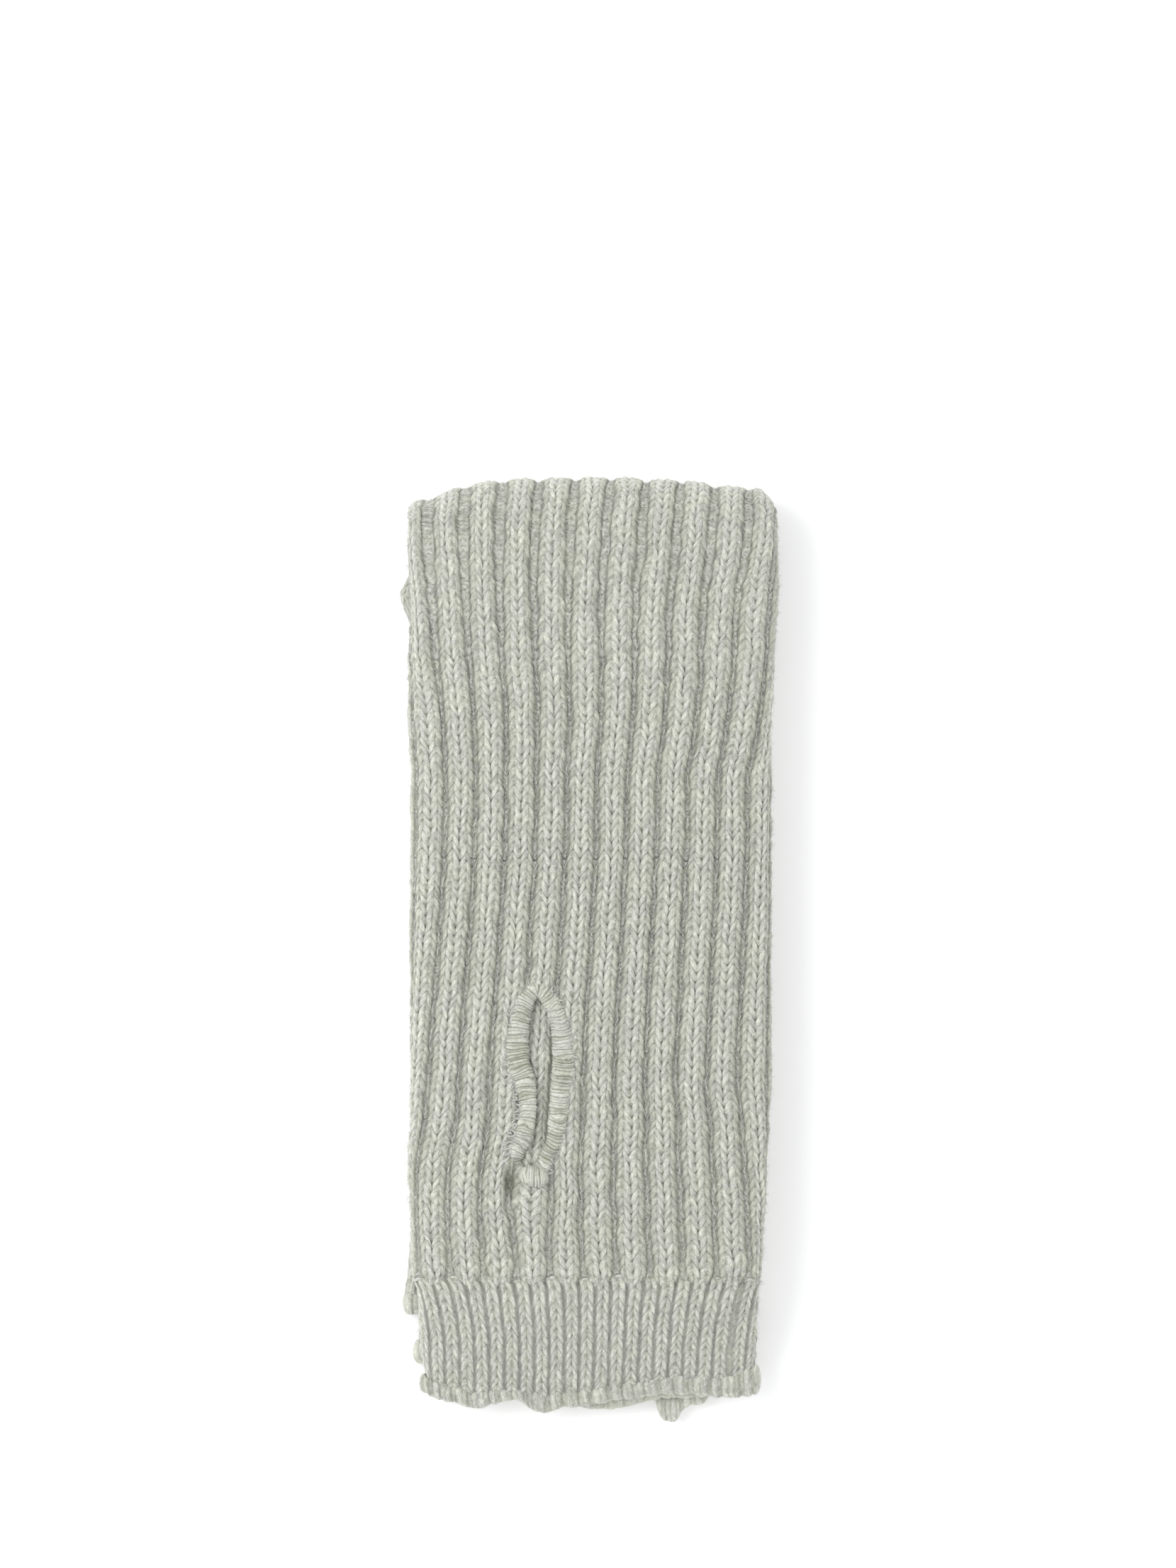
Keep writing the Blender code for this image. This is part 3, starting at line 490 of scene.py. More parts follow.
def purl_relief(place, v):
    """The purl rows: two small arcs to a row, |sin|^0.7, uneven in place and size, and some soft lumps."""
    lumps = 0.42 * wander(place * 1.9 + 5.2 * np.floor(2 * v), v * 3.1, 9)
    shifted = v + 0.25 * wander(place * 1.4 + 0.7 * v, v * 1.7, 8) + 0.4 * place**2
    size = 0.8 + 0.35 * wander(v * 1.3, place * 0.7, 7)
    arcs = size * np.abs(np.sin(2 * pi * shifted)) ** 0.7
    return arcs * (0.7 + 0.3 * np.abs(place)) * (1 - 0.3 * place**4) + lumps


def valley_depth(t):
    """Depth of the purl valley: shallow where the cloth is pulled wide, deeper again round the fold."""
    pitch = column(STATIONS, "pitch", section_at(t)[2])
    level = np.interp(pitch, (8.4, 9.6), (VALLEY_DEPTH, OPEN_VALLEY_DEPTH))
    return level + FOLD_DEEPER * np.sin(along(t)[1])


def rib_height(shape, row, depth, pressed=0.0):
    """Height of the wide-rib cloth over its nominal face. pressed, 0 to 1, is how flat it is lain on."""
    strands = knit_relief(shape.u, row) * np.interp(row, (50.0, 70.0), (1.0, 0.82))
    knit = -CROWN_DROP * crown(shape) * (1 - 0.5 * pressed) + strands
    purl = -depth * (1 - 0.3 * pressed) + purl_relief(shape.valley_place, row)
    return np.where(shape.valley, purl, knit)


def unevenness(shape, row, seed):
    """Small shifts of each stitch: along the cloth in rows, across it in ribs, and up in mm. Each is
    a slow wander over many stitches and a quick one from leg to leg."""
    wale = shape.wale
    leg = 2 * wale + 0.8 * shape.side * shape.u**0.5 + 0.5

    def shift(slow, place, rows, quick, seed):
        """The slow wander's size and place, and the quick one's size."""
        return slow * wander(place, rows, seed) + quick * wander(leg, row - 0.5, seed + 1)

    up_down = shift(0.3, wale * 0.9 + 3.3, row * 0.33, 0.27, seed)
    across = shift(0.014, wale * 0.5, row * 0.21, 0.045, seed + 2)
    return up_down, across, shift(0.14, wale * 0.7, row * 0.4, 0.22, seed + 4)


def strand_map(shape, row):
    """The strand's own map, in mm: along it and across it, shifted from stitch to stitch."""
    knit_along = shape.u * 4.0 * shape.side + 4.7 * shape.wale + 0.37 * np.floor(row)
    purl_along = 1.5 * shape.valley_place + 2.3 * np.floor(2 * row) + 4.7 * shape.wale
    purl_across = row * 2.6 + 0.9 * shape.valley_place**2
    return np.where(shape.valley, purl_along, knit_along), np.where(shape.valley, purl_across, row * 1.33)


def across_rib(shape, half, width=1.0):
    """Place across a rib: half to each side of its middle is the valley, the rest of width is knit."""
    knit = half + (width - 2 * half) * shape.knit_share
    return np.where(shape.valley, half * shape.valley_place, knit)


def rib_number(shape, t):
    """Rib number of each point: the valley takes what two knit columns leave of the pitch.

    The two are 8.5 mm wide together, and 7.5 mm towards the fold, where the pull is strongest: a
    little less at the left there, and more again right round the fold's edge. Over the last 6 mm
    before the cuff they draw together, as they go over into one."""
    rib_y = section_at(t)[2]
    pitch = column(STATIONS, "pitch", rib_y)
    left_top = unit(1 - shape.group / 3.0) * unit((rib_y - 70) / 35)
    knit_width = np.interp(rib_y, *KNIT_WIDTHS) - DRAWN_LEFT * left_top
    knit_width = knit_width + WIDER_AT_FOLD * np.sin(along(t)[1]) ** 8
    half = np.clip((pitch - knit_width) / pitch, 0.09, 0.4) / 2
    half = half + 0.17 * unit(1 - (t + SEAM_OVERLAP) / 6.0) ** 1.5
    return shape.group + across_rib(shape, half)


# %% A stretch of the outer tube
WALL = 2.6
LAST_STITCH = 175
SEAM_OVERLAP, HEM_REACH = 2.2, 3.8
END_DROOP, END_DROOP_ROWS = 0.9, 0.9
SLIT_REACH, SLIT_FLOOR = 3.4, -0.55
# A pit beside the bar tack: its place, width, length, depth, and the painted shade in it.
PIT_X, PIT_Y, PIT_WIDTH, PIT_LENGTH, PIT_DEPTH, PIT_SHADE = -22.2, -65.2, 1.6, 3.4, 1.6, 0.7


def rib_stretch(name, stitches, ribs=RIBS, places=STITCH_PLACES, sunk=0.0, thick=WALL, slit=False, skip=1):
    """Closed ribbed cloth for the given ribs and stitches, sunk mm under the tube's face.

    slit leaves the thumb slit open: the valleys rise to meet its bound edge, and a small pit lies
    beside its bar tack, with painted shade in it. skip leaves out columns of points."""
    shape = knit_layout(*ribs, 2, np.s_[::skip])
    row = stitch_rows(*stitches, places)
    up_down, across, lift = unevenness(shape, row, 11)
    fade = level_ends(row, LAST_STITCH)
    t = (row + up_down * fade) * ROW - FALL * shape.u * (1 - 0.12 * (1 - shape.u)) * fade
    t = t - SEAM_OVERLAP * (1 - unit(row / 2.5)) + HEM_REACH * unit((row - LAST_STITCH + 4) / 4)
    rib = rib_number(shape, t) + across
    pressed = unit(along(t)[1] / (0.4 * pi) - 1.5)
    depth = valley_depth(t)
    height = rib_height(shape, row, depth, pressed)
    raised = np.where(pressed > 0.5, np.minimum(height + lift, 0.0), height + lift)
    raised = raised - END_DROOP * unit(1 - row / END_DROOP_ROWS) ** 2
    front = tube_points(rib, t, sunk - raised)
    coarse = np.s_[:: len(places), :: BACK_STEP // skip]
    pit, keep = 0.0, None
    if slit:
        spot = photo_xy(front)
        near = np.exp(-((from_slit(spot) / SLIT_REACH) ** 4))
        raised = raised * (1 - near) + np.maximum(raised, SLIT_FLOOR) * near
        pit_x, pit_y = (spot[..., 0] - PIT_X) / PIT_WIDTH, (spot[..., 1] - PIT_Y) / PIT_LENGTH
        pit = np.exp(-(pit_x**2) - pit_y**2)
        front = tube_points(rib, t, sunk - (raised - PIT_DEPTH * pit))
        corner = front[coarse]
        middle = (corner[:-1, :-1] + corner[1:, :-1] + corner[:-1, 1:] + corner[1:, 1:]) / 4
        keep = outside_slit(photo_xy(middle))
    back = tube_points(rib[coarse], t[coarse], sunk + thick)
    tone = each_stitch(2 * shape.wale + (shape.side > 0), row, 14)
    # Painted shade: the valley's purl rows and the strands' creases are darker, and the pit beside the bar
    # tack darker still.
    painted_light = np.where(shape.valley, 0.53 + 0.47 * (height + depth), 1.02 + height / 1.6)
    painted_light = unit(painted_light - PIT_SHADE * pit)
    return cloth(name, front, back, strand_map(shape, row), tone, painted_light, keep), front


# %% Knit the arm
arm_low, low_front = rib_stretch("rib_arm_lower", (0, 45), slit=True)
arm_high, high_front = rib_stretch("rib_arm_upper", (45, 90))
arm_under, _ = rib_stretch("rib_arm_under", (90, LAST_STITCH), places=COARSE_PLACES, skip=2)
palm_wall, _ = rib_stretch("palm_wall", (8, 34), ribs=(2, 5), sunk=2.2, thick=1.0)

# %% [markdown]
# ## The bound edge of the thumb slit
# Round the slit the cloth is overcast: yarn is wrapped over the edge, turn beside turn, and a chain
# of small loops lies along its outer side. One tube carries the wraps as relief, since each wrap is
# just a round strand laid across the tube. The loops are a second, thinner tube beside it.

# %% Wrap the edge
THUMB_THICK = 3.3
WRAP = 1.8
WRAP_RELIEF, PLY_RELIEF, WRAP_LOOSE = 0.11, 0.27, 0.16


def places_round(count):
    """Angles of count places round a section, as a row."""
    return np.linspace(0, 2 * pi, count, endpoint=False)[None, :]


def run_length(line):
    """Distance along a closed line up to each of its points, and its whole length."""
    steps = np.linalg.norm(np.roll(line, -1, axis=0) - line, axis=1)
    return np.concatenate([[0.0], np.cumsum(steps)[:-1]]), steps.sum()


def top_height(x, y):
    """Height in mm of the pair's upper face over a spot."""
    return settle(x, y, np.full_like(x, STACK))[..., 2] / MM


def thumb_binding():
    """Round tube over the edge. Wraps of 1.8 mm, each of two plies, lie across it: the tube swells by
    the round back of each wrap and each ply, and a little by chance."""
    line, outward, width, proud = thumb_ring(1000)
    length, whole = run_length(line)
    length, turn = length[:, None], places_round(18)
    phase = length / whole * round(whole / WRAP) + 0.2 * np.sin(turn)
    phase = phase + 0.4 * wander(length * 0.5, turn * 0.8, 21)
    wrap, ply = np.floor(phase), np.floor(2 * phase)
    loose = WRAP_LOOSE * wander(wrap + 0.5, turn * 0.8, 22) + WRAP_LOOSE * wander(ply * 1.7, turn * 0.6, 24)
    swell = WRAP_RELIEF * (strand(phase) - 1) + PLY_RELIEF * (strand(2 * phase) - 1) + loose
    across = (width[:, None] / 2 + 0.2 + swell) * np.cos(turn)
    level = top_height(line[:, 0], line[:, 1]) + proud - THUMB_THICK / 2
    z = level[:, None] + (THUMB_THICK / 2 + 0.1 + swell) * np.sin(turn)
    x = line[:, :1] + outward[:, :1] * across - ORIGIN[0]
    y = line[:, 1:] + outward[:, 1:] * across - ORIGIN[1]
    tone = each_stitch(ply.astype(int), 0, 23)
    # Painted shade: darker in the creases between wraps and plies, and on the tube's lower side.
    painted_light = unit(0.95 + swell / 0.5) * np.clip(0.9 + np.sin(turn) * 0.7, 0.45, 0.95)
    uv = (turn * 2.4 + 1.7 * wrap, phase * 1.8)
    return tubes("thumb_binding", np.stack([x, y, z], -1)[None] * MM, uv, tone, painted_light, True)


# %% Lay short yarns: loops, knots and a frayed end
def yarns(name, paths, radius, closed, sides=6, tone_seed=25):
    """Many short yarns at once. paths: count x points x 3 in mm; radius: count x points.
    closed: rings, and otherwise yarns with two ends. Each section stands across its path."""
    count, n = paths.shape[:2]
    if closed:
        forward = np.roll(paths, -1, axis=1) - np.roll(paths, 1, axis=1)
    else:
        forward = np.gradient(paths, axis=1)
    forward = directed(forward)
    beside = directed(np.cross(forward, (0.0, 0.0, 1.0)), 1e-9)
    upward = np.cross(beside, forward)
    turn = places_round(sides)[0]
    ring = beside[:, :, None] * np.cos(turn)[:, None] + upward[:, :, None] * np.sin(turn)[:, None]
    points = paths[:, :, None] + ring * radius[:, :, None, None]
    uv = (0.35 * np.arange(1, n + 1)[:, None], turn * 0.5 + 3.1 * np.arange(count)[:, None, None])
    tone = np.random.default_rng(tone_seed).uniform(0, 1, (count, 1, 1))
    # Painted shade: each yarn's lower side is darker.
    return tubes(name, points * MM, uv, tone, unit(0.75 + 0.3 * np.sin(turn)), closed)


def on_top(xy, lift):
    """Spots of the photo's frame put on the pair's upper face, lift mm over it, in the part's frame."""
    z = top_height(xy[..., 0], xy[..., 1]) + lift
    return np.concatenate([xy - ORIGIN[:2], z[..., None]], -1)


def thumb_loops():
    """One loop at the outer end of every wrap, and a second column of them low on the left. Each is
    an oval of its own size, turned by chance and tilted a little."""
    line, outward, width, proud = thumb_ring(1050)
    length, whole = run_length(line)
    wraps = round(whole / WRAP)
    middle = np.interp((np.arange(wraps) + 0.5) / wraps * whole, length, np.arange(len(line))).astype(int)
    left_low = (line[middle, 0] < -15) & (line[middle, 1] < -34) & (line[middle, 1] > -57)
    shown = proud[middle] > 0.3
    spot = np.concatenate([middle[shown], middle[left_low]])
    away = np.concatenate([np.full(shown.sum(), 0.05), np.full(left_low.sum(), 1.2)])
    jitter = np.random.default_rng(26)
    away = away + jitter.uniform(-0.35, 0.35, len(spot))
    size = jitter.uniform(0.5, 1.15, (len(spot), 1))
    angle = jitter.normal(0, 0.6, (len(spot), 1))
    turn = places_round(12)
    a, b = 1.1 * size * np.cos(turn), 0.6 * size * np.sin(turn) + 0.12 * np.sin(2 * turn + 9 * size)
    a, b = a * np.cos(angle) - b * np.sin(angle), a * np.sin(angle) + b * np.cos(angle)
    out, run = outward[spot], outward[spot][:, ::-1] * (1, -1)
    centre = line[spot] + out * (width[spot] / 2 + away)[:, None]
    xy = centre[:, None] + out[:, None] * a[..., None] + run[:, None] * b[..., None]
    lift = -0.45 + 0.4 * np.cos(turn + 2.6) + jitter.uniform(-0.25, 0.1, (len(spot), 1))
    return yarns("thumb_loops", on_top(xy, lift), 0.24 + 0.05 * np.sin(turn + 5 * size), True)


# %% The bar tack and the frayed end
KNOB_X, KNOB_Y, KNOB_HALF_LENGTH, KNOB_HALF_WIDTH, KNOB_HALF_HEIGHT = -15.8, -63.2, 4.1, 3.0, 2.7
KNOB_SINK, KNOB_PLIES = 0.4, 5.5
FRAY_X, FRAY_Y, FRAY_LOOPS = -22.2, -51.4, 5


def thumb_knob():
    """The bar tack under the slit: an egg 8 by 6 mm with yarn wrapped across it."""
    share, turn = np.linspace(-1, 1, 60)[:, None], places_round(26)
    girth = (1 - np.abs(share) ** 2.1) ** 0.5
    ply = share * KNOB_PLIES + 0.7 * share * np.cos(turn) ** 2 + 0.7 * wander(share * 3 + 2, turn * 0.9, 32)
    swell = girth * (0.32 * (strand(ply) - 0.7) + 0.2 * wander(ply * 2, turn, 27))
    x = KNOB_X + KNOB_HALF_LENGTH * share + 0 * turn
    y = KNOB_Y - 0.5 * share + (KNOB_HALF_WIDTH * girth + swell) * np.cos(turn)
    z = top_height(x, y) - KNOB_SINK + (KNOB_HALF_HEIGHT * girth + swell) * np.sin(turn)
    points = np.stack([x - ORIGIN[0], y - ORIGIN[1], z], -1)[None] * MM
    # Painted shade: darker between the plies and on the egg's lower side.
    painted_light = unit(0.8 + swell / 0.45) * np.clip(0.75 + 0.35 * np.sin(turn), 0.4, 1)
    tone = each_stitch(np.floor(ply).astype(int), 0, 28)
    return tubes("thumb_knob", points, (turn * 2.4, ply * 1.3), tone, painted_light, False)


def frayed_end():
    """Where the left edge ends, its last wraps come loose: long loops that overlap and fan out."""
    jitter = np.random.default_rng(29)
    fan, turn = np.linspace(0, 1, FRAY_LOOPS)[:, None], places_round(18)
    angle = 0.1 + 0.6 * fan + jitter.normal(0, 0.3, fan.shape)
    long = (1.7 + jitter.uniform(-0.4, 0.3, fan.shape)) * np.cos(turn)
    wide = (0.8 + jitter.uniform(-0.15, 0.15, fan.shape)) * np.sin(turn) + 0.2 * np.cos(turn) ** 2
    x = FRAY_X - 1.6 * fan - long * np.cos(angle) + wide * np.sin(angle)
    y = FRAY_Y - 6.6 * fan - long * np.sin(angle) - wide * np.cos(angle)
    lift = -0.1 - 0.35 * fan + 0.25 * np.sin(turn + 0.5) - 0.2 * np.cos(turn)
    radius = 0.29 + 0.05 * np.sin(2 * turn + 5 * fan)
    return yarns("frayed_end", on_top(np.stack([x, y], -1), lift), radius, True)


binding, loops, knob, fray = thumb_binding(), thumb_loops(), thumb_knob(), frayed_end()

# %% [markdown]
# ## The hand cuff
# Below the wide ribs the knitting changes to a one by one rib. One of its columns goes on from the
# middle of a wide rib, where two columns meet, and the next one starts in the valley under a small
# knot. The cuff is a whole flattened tube, so its grid wraps round and its back is the tube's
# inside. Its last rows bend to follow the rolled edge.

# %% Rolled edges, as tables
ROLL_COLUMNS = ("x", "upper_y", "lower_y", "half_depth")
OUTER_CUFF_ROLL = (
    ROLL_COLUMNS,
    (-46.6, -120.6, -119.8, 2.3), (-42.0, -122.6, -121.2, 2.4), (-37.6, -123.5, -122.4, 2.6),
    (-31.8, -125.2, -123.4, 2.5), (-26.5, -124.1, -122.6, 2.1), (-20.1, -123.6, -121.8, 1.7),
    (-17.0, -125.0, -122.6, 2.6), (-13.0, -126.1, -123.4, 2.8), (-8.0, -124.7, -123.4, 2.5),
    (-2.5, -124.6, -125.2, 2.4), (5.3, -123.0, -125.5, 2.4), (9.2, -122.6, -124.9, 2.4),
    (14.0, -121.9, -123.6, 2.4), (18.9, -121.2, -122.6, 2.4), (24.8, -120.9, -122.2, 2.7),
    (30.6, -121.1, -122.0, 2.7), (34.5, -121.6, -121.6, 2.8), (38.6, -121.2, -120.8, 3.2),
    (41.6, -120.2, -120.0, 3.9), (44.7, -119.5, -119.4, 4.2),
)
INNER_CUFF_ROLL = (
    ROLL_COLUMNS,
    (-45.5, -120.4, -119.6, 2.3), (-30.0, -121.6, -120.8, 2.3), (-10.0, -121.8, -121.0, 2.3),
    (10.0, -122.0, -121.4, 2.3), (16.8, -122.4, -122.0, 2.4), (18.5, -126.0, -125.4, 3.5),
    (20.2, -127.6, -127.0, 3.9), (22.0, -127.8, -127.2, 3.9), (23.7, -126.8, -126.2, 3.7),
    (25.4, -125.2, -124.8, 3.0), (27.5, -124.5, -124.1, 2.7), (30.6, -124.3, -123.9, 2.3),
    (32.4, -122.2, -121.8, 2.1), (44.0, -120.0, -119.4, 2.2),
)
OUTER_ARM_ROLL = (
    ROLL_COLUMNS,
    (-52.0, -99.2, -99.2, 3.2), (-48.0, -99.2, -99.2, 3.0), (-40.0, -98.2, -98.8, 2.4),
    (-20.0, -97.4, -98.4, 2.4), (0.0, -98.6, -99.4, 2.4), (20.0, -97.6, -98.4, 2.4),
    (44.0, -98.0, -98.0, 2.4),
)
INNER_ARM_ROLL = (
    ROLL_COLUMNS,
    (-49.0, -112.6, -112.6, 3.2), (-45.0, -112.6, -112.6, 3.0), (-34.0, -112.2, -112.8, 2.4),
    (-10.0, -111.4, -112.4, 2.4), (12.0, -112.4, -113.2, 2.4), (30.0, -111.6, -112.4, 2.4),
    (44.0, -112.0, -112.0, 2.4),
)
ROLL_HALF_HEIGHT, ROLL_LIP = 1.35, 1.65
ROLL_GAP = 0.3


def roll_line(x, lift, table):
    """The roll's middle line and half size along Y; lift is 1 on the upper lip and -1 on the lower."""
    upper, lower, half = columns(table, ROLL_COLUMNS[1:], x)
    return upper * (1 + lift) / 2 + lower * (1 - lift) / 2, half


def toward_roll(x, y, lift, start, end, table, reach):
    """Moves y so that cloth that would end straight across, at end, stops reach mm inside its roll."""
    middle, half = roll_line(x, lift, table)
    share = unit((y - start) / (end - start))
    return y + (middle + half + ROLL_GAP - reach - end) * share


# %% Knit the cuff
CUFF_ROW, CUFF_FALL, CUFF_WALL, CUFF_RADIUS = 2.4, 2.9, 2.4, 3.1
CUFF_LEVEL = MIDDLE + TUBE + EDGE_RADIUS
CUFF_RIBS, CUFF_ROWS = 23, 12
CUFF_FIRST, CUFF_LAST, SIDE_STEP = -0.75, 9.75, 1.2
CUFF_CROWN, CUFF_STRANDS, CUFF_VALLEY, CUFF_PURL, CUFF_LIFT = 0.42, 1.05, -0.7, 0.4, 0.8
# The head rows, where the cuff runs under the wide ribs, get extra painted shade.
HEAD_ROWS, HEAD_SHADE, HEAD_SHADE_ROWS = 2, 0.35, 0.9
KNIT_HEAD_RISE, PURL_HEAD_RISE = 1.2, 0.6
RIB_RISE = np.random.default_rng(33).uniform(-0.9, 1.1, 12)
CUFF_KNIT = (
    ("y", "first", "pitch"), (-91.3, -46.9, 8.98), (-93.0, -45.4, 8.8), (-99.0, -43.6, 8.45),
    (-106.7, -42.4, 8.2), (-115.7, -42.2, 8.12), (-121.0, -42.3, 8.1),
)


def stadium(s, flat, inward):
    """Round a flattened tube by distance s from the middle of its top: x and height over its middle.
    The five stretches are half the top, the right round, the bottom, the left round and half the top."""
    arc = pi * CUFF_RADIUS
    s = s % (4 * flat + 2 * arc)
    r = CUFF_RADIUS - inward
    places = [s < flat, s < flat + arc, s < 3 * flat + arc, s < 3 * flat + 2 * arc]
    right, left = (s - flat) / CUFF_RADIUS, (s - 3 * flat - arc) / CUFF_RADIUS
    x = [s, flat + r * np.sin(right), 2 * flat + arc - s, -flat - r * np.sin(left)]
    z = [r + 0 * s, r * np.cos(right), -r + 0 * s, -r * np.cos(left)]
    return np.select(places, x, s - 4 * flat - 2 * arc), np.select(places, z, r)


def cuff_points(rib, y, inward):
    """Points of the cuff at rib number and height y: first + pitch * rib on top, evenly spread below.
    At the right side the ribs take a step outward, which the next two ribs make up for."""
    centre, half = columns(STATIONS, OUTLINE, y)
    first, pitch = columns(CUFF_KNIT, ("first", "pitch"), y)
    flat = half - EDGE_RADIUS
    start, stop = first + pitch * CUFF_FIRST - centre, first + pitch * CUFF_LAST - centre
    whole = 4 * flat + 2 * pi * CUFF_RADIUS
    rest = stop + (rib - CUFF_LAST) / (CUFF_RIBS - CUFF_LAST + CUFF_FIRST) * (whole - (stop - start))
    s = np.where(rib < CUFF_LAST, first + pitch * rib - centre, rest)
    s = s + SIDE_STEP * unit((rib - CUFF_LAST) / 0.06 + 0.5) * unit((CUFF_LAST + 2 - rib) / 2)
    x, level = stadium(s, flat, inward)
    lift = np.clip(level / (EDGE_RADIUS - CUFF_WALL), -1, 1)
    bent = toward_roll(x + centre, y, lift, CUFF_SEAM_Y - 0.3, CUFF_END_Y, OUTER_CUFF_ROLL, 1.0)
    return settle(centre + x, bent, CUFF_LEVEL + level)


def hand_cuff():
    """A one by one rib all round. Its strands lie level at both ends, so that the ends are straight.
    At its head each column rises into the wide ribs by its own length, and rounds off inward."""
    shape = knit_layout(0, CUFF_RIBS, 1, np.s_[:-1])
    row = stitch_rows(0, CUFF_ROWS)
    up_down, across, lift = unevenness(shape, row, 31)
    fade = level_ends(row, CUFF_ROWS, 1.6, 1.4)
    head = unit((row - CUFF_ROWS + HEAD_ROWS) / HEAD_ROWS)
    under_rib = shape.group % 2 == 0
    purl_rise = PURL_HEAD_RISE + RIB_RISE[shape.group // 2 % len(RIB_RISE)]
    rise = np.where(under_rib, KNIT_HEAD_RISE, purl_rise)
    y = CUFF_SEAM_Y - (CUFF_ROWS - row - 0.8 * up_down * fade) * CUFF_ROW
    y = y - CUFF_FALL * shape.u * fade + head * rise
    pitch = column(CUFF_KNIT, "pitch", y) / 2
    half = np.clip((pitch - 4.0) / pitch, 0.07, 0.3) / 4
    rib = CUFF_FIRST + shape.group / 2 + across_rib(shape, half, 0.5) + 0.6 * across
    knit_height = CUFF_CROWN * crown(shape) + CUFF_STRANDS * knit_relief(shape.u, row)
    purl = purl_relief(shape.valley_place, row)
    height = np.where(shape.valley, CUFF_VALLEY + CUFF_PURL * purl, knit_height)
    round_head = unit((row - CUFF_ROWS + 0.6) / 0.6) ** 2 * (0.5 + crown(shape)) * (1 - 0.7 * under_rib)
    round_head = round_head + 0.2 * under_rib * head**2
    front = cuff_points(rib, y, -height - CUFF_LIFT * lift + 1.2 * round_head)
    coarse = np.s_[:: len(STITCH_PLACES), ::BACK_STEP]
    back = cuff_points(rib[coarse], y[coarse], CUFF_WALL)
    tone = each_stitch(2 * shape.wale + (shape.side > 0), row, 34)
    # Painted shade: valleys and strand creases are darker, and more so in the head rows under the wide
    # ribs.
    painted_light = np.where(shape.valley, 0.5 + 0.4 * purl, 0.94 + height / 1.4)
    painted_light = unit(painted_light - HEAD_SHADE * unit((row - CUFF_ROWS + HEAD_SHADE_ROWS) / HEAD_SHADE_ROWS))
    return cloth("hand_cuff", front, back, strand_map(shape, row), tone, painted_light, wrap=True), front


def seam_knots():
    """A purl knot over every cuff column that starts in a valley: a short arched yarn and a smaller
    one over it. Both bend down and thin out towards their ends."""
    n = np.repeat(np.arange(0, 11), 2)[:, None]
    upper = np.tile([0.0, 1.0], 11)[:, None]
    s = np.linspace(-1, 1, 12)[None, :]
    jitter = np.random.default_rng(35).uniform(-1, 1, (22, 1))
    seam_y, first, pitch = CUFF_KNIT[1]
    x = first + pitch * n + 0.5 * jitter + (1.75 - 0.35 * upper) * s
    y = seam_y + 0.1 + RIB_RISE[n] + 1.35 * upper + 0.3 * jitter - (0.9 - 0.2 * upper) * s**2
    lift = -1.05 - 0.4 * upper - 0.5 * s**2 + 0.12 * jitter
    radius = (0.48 - 0.1 * upper) * np.sqrt(np.clip(1.02 - s**2, 0.04, 1))
    return yarns("seam_knots", on_top(np.stack([x, y], -1), lift), radius, False, 8, 36)


cuff, cuff_front = hand_cuff()
knots = seam_knots()

# %% [markdown]
# ## Rolled edges
# Plain knitting curls at a free edge, so each end of a tube is a soft roll. Across the pair it
# follows a wavy line, goes round the side and comes back along the lower lip. The strands run
# round the roll, and the knit columns above it push it out into soft lumps.

# %% Roll the four edges
ROLL_STEP, ROLL_WRAP = 0.34, 1.55
CUFF_LUMP, ARM_LUMP = 4.15, 4.5


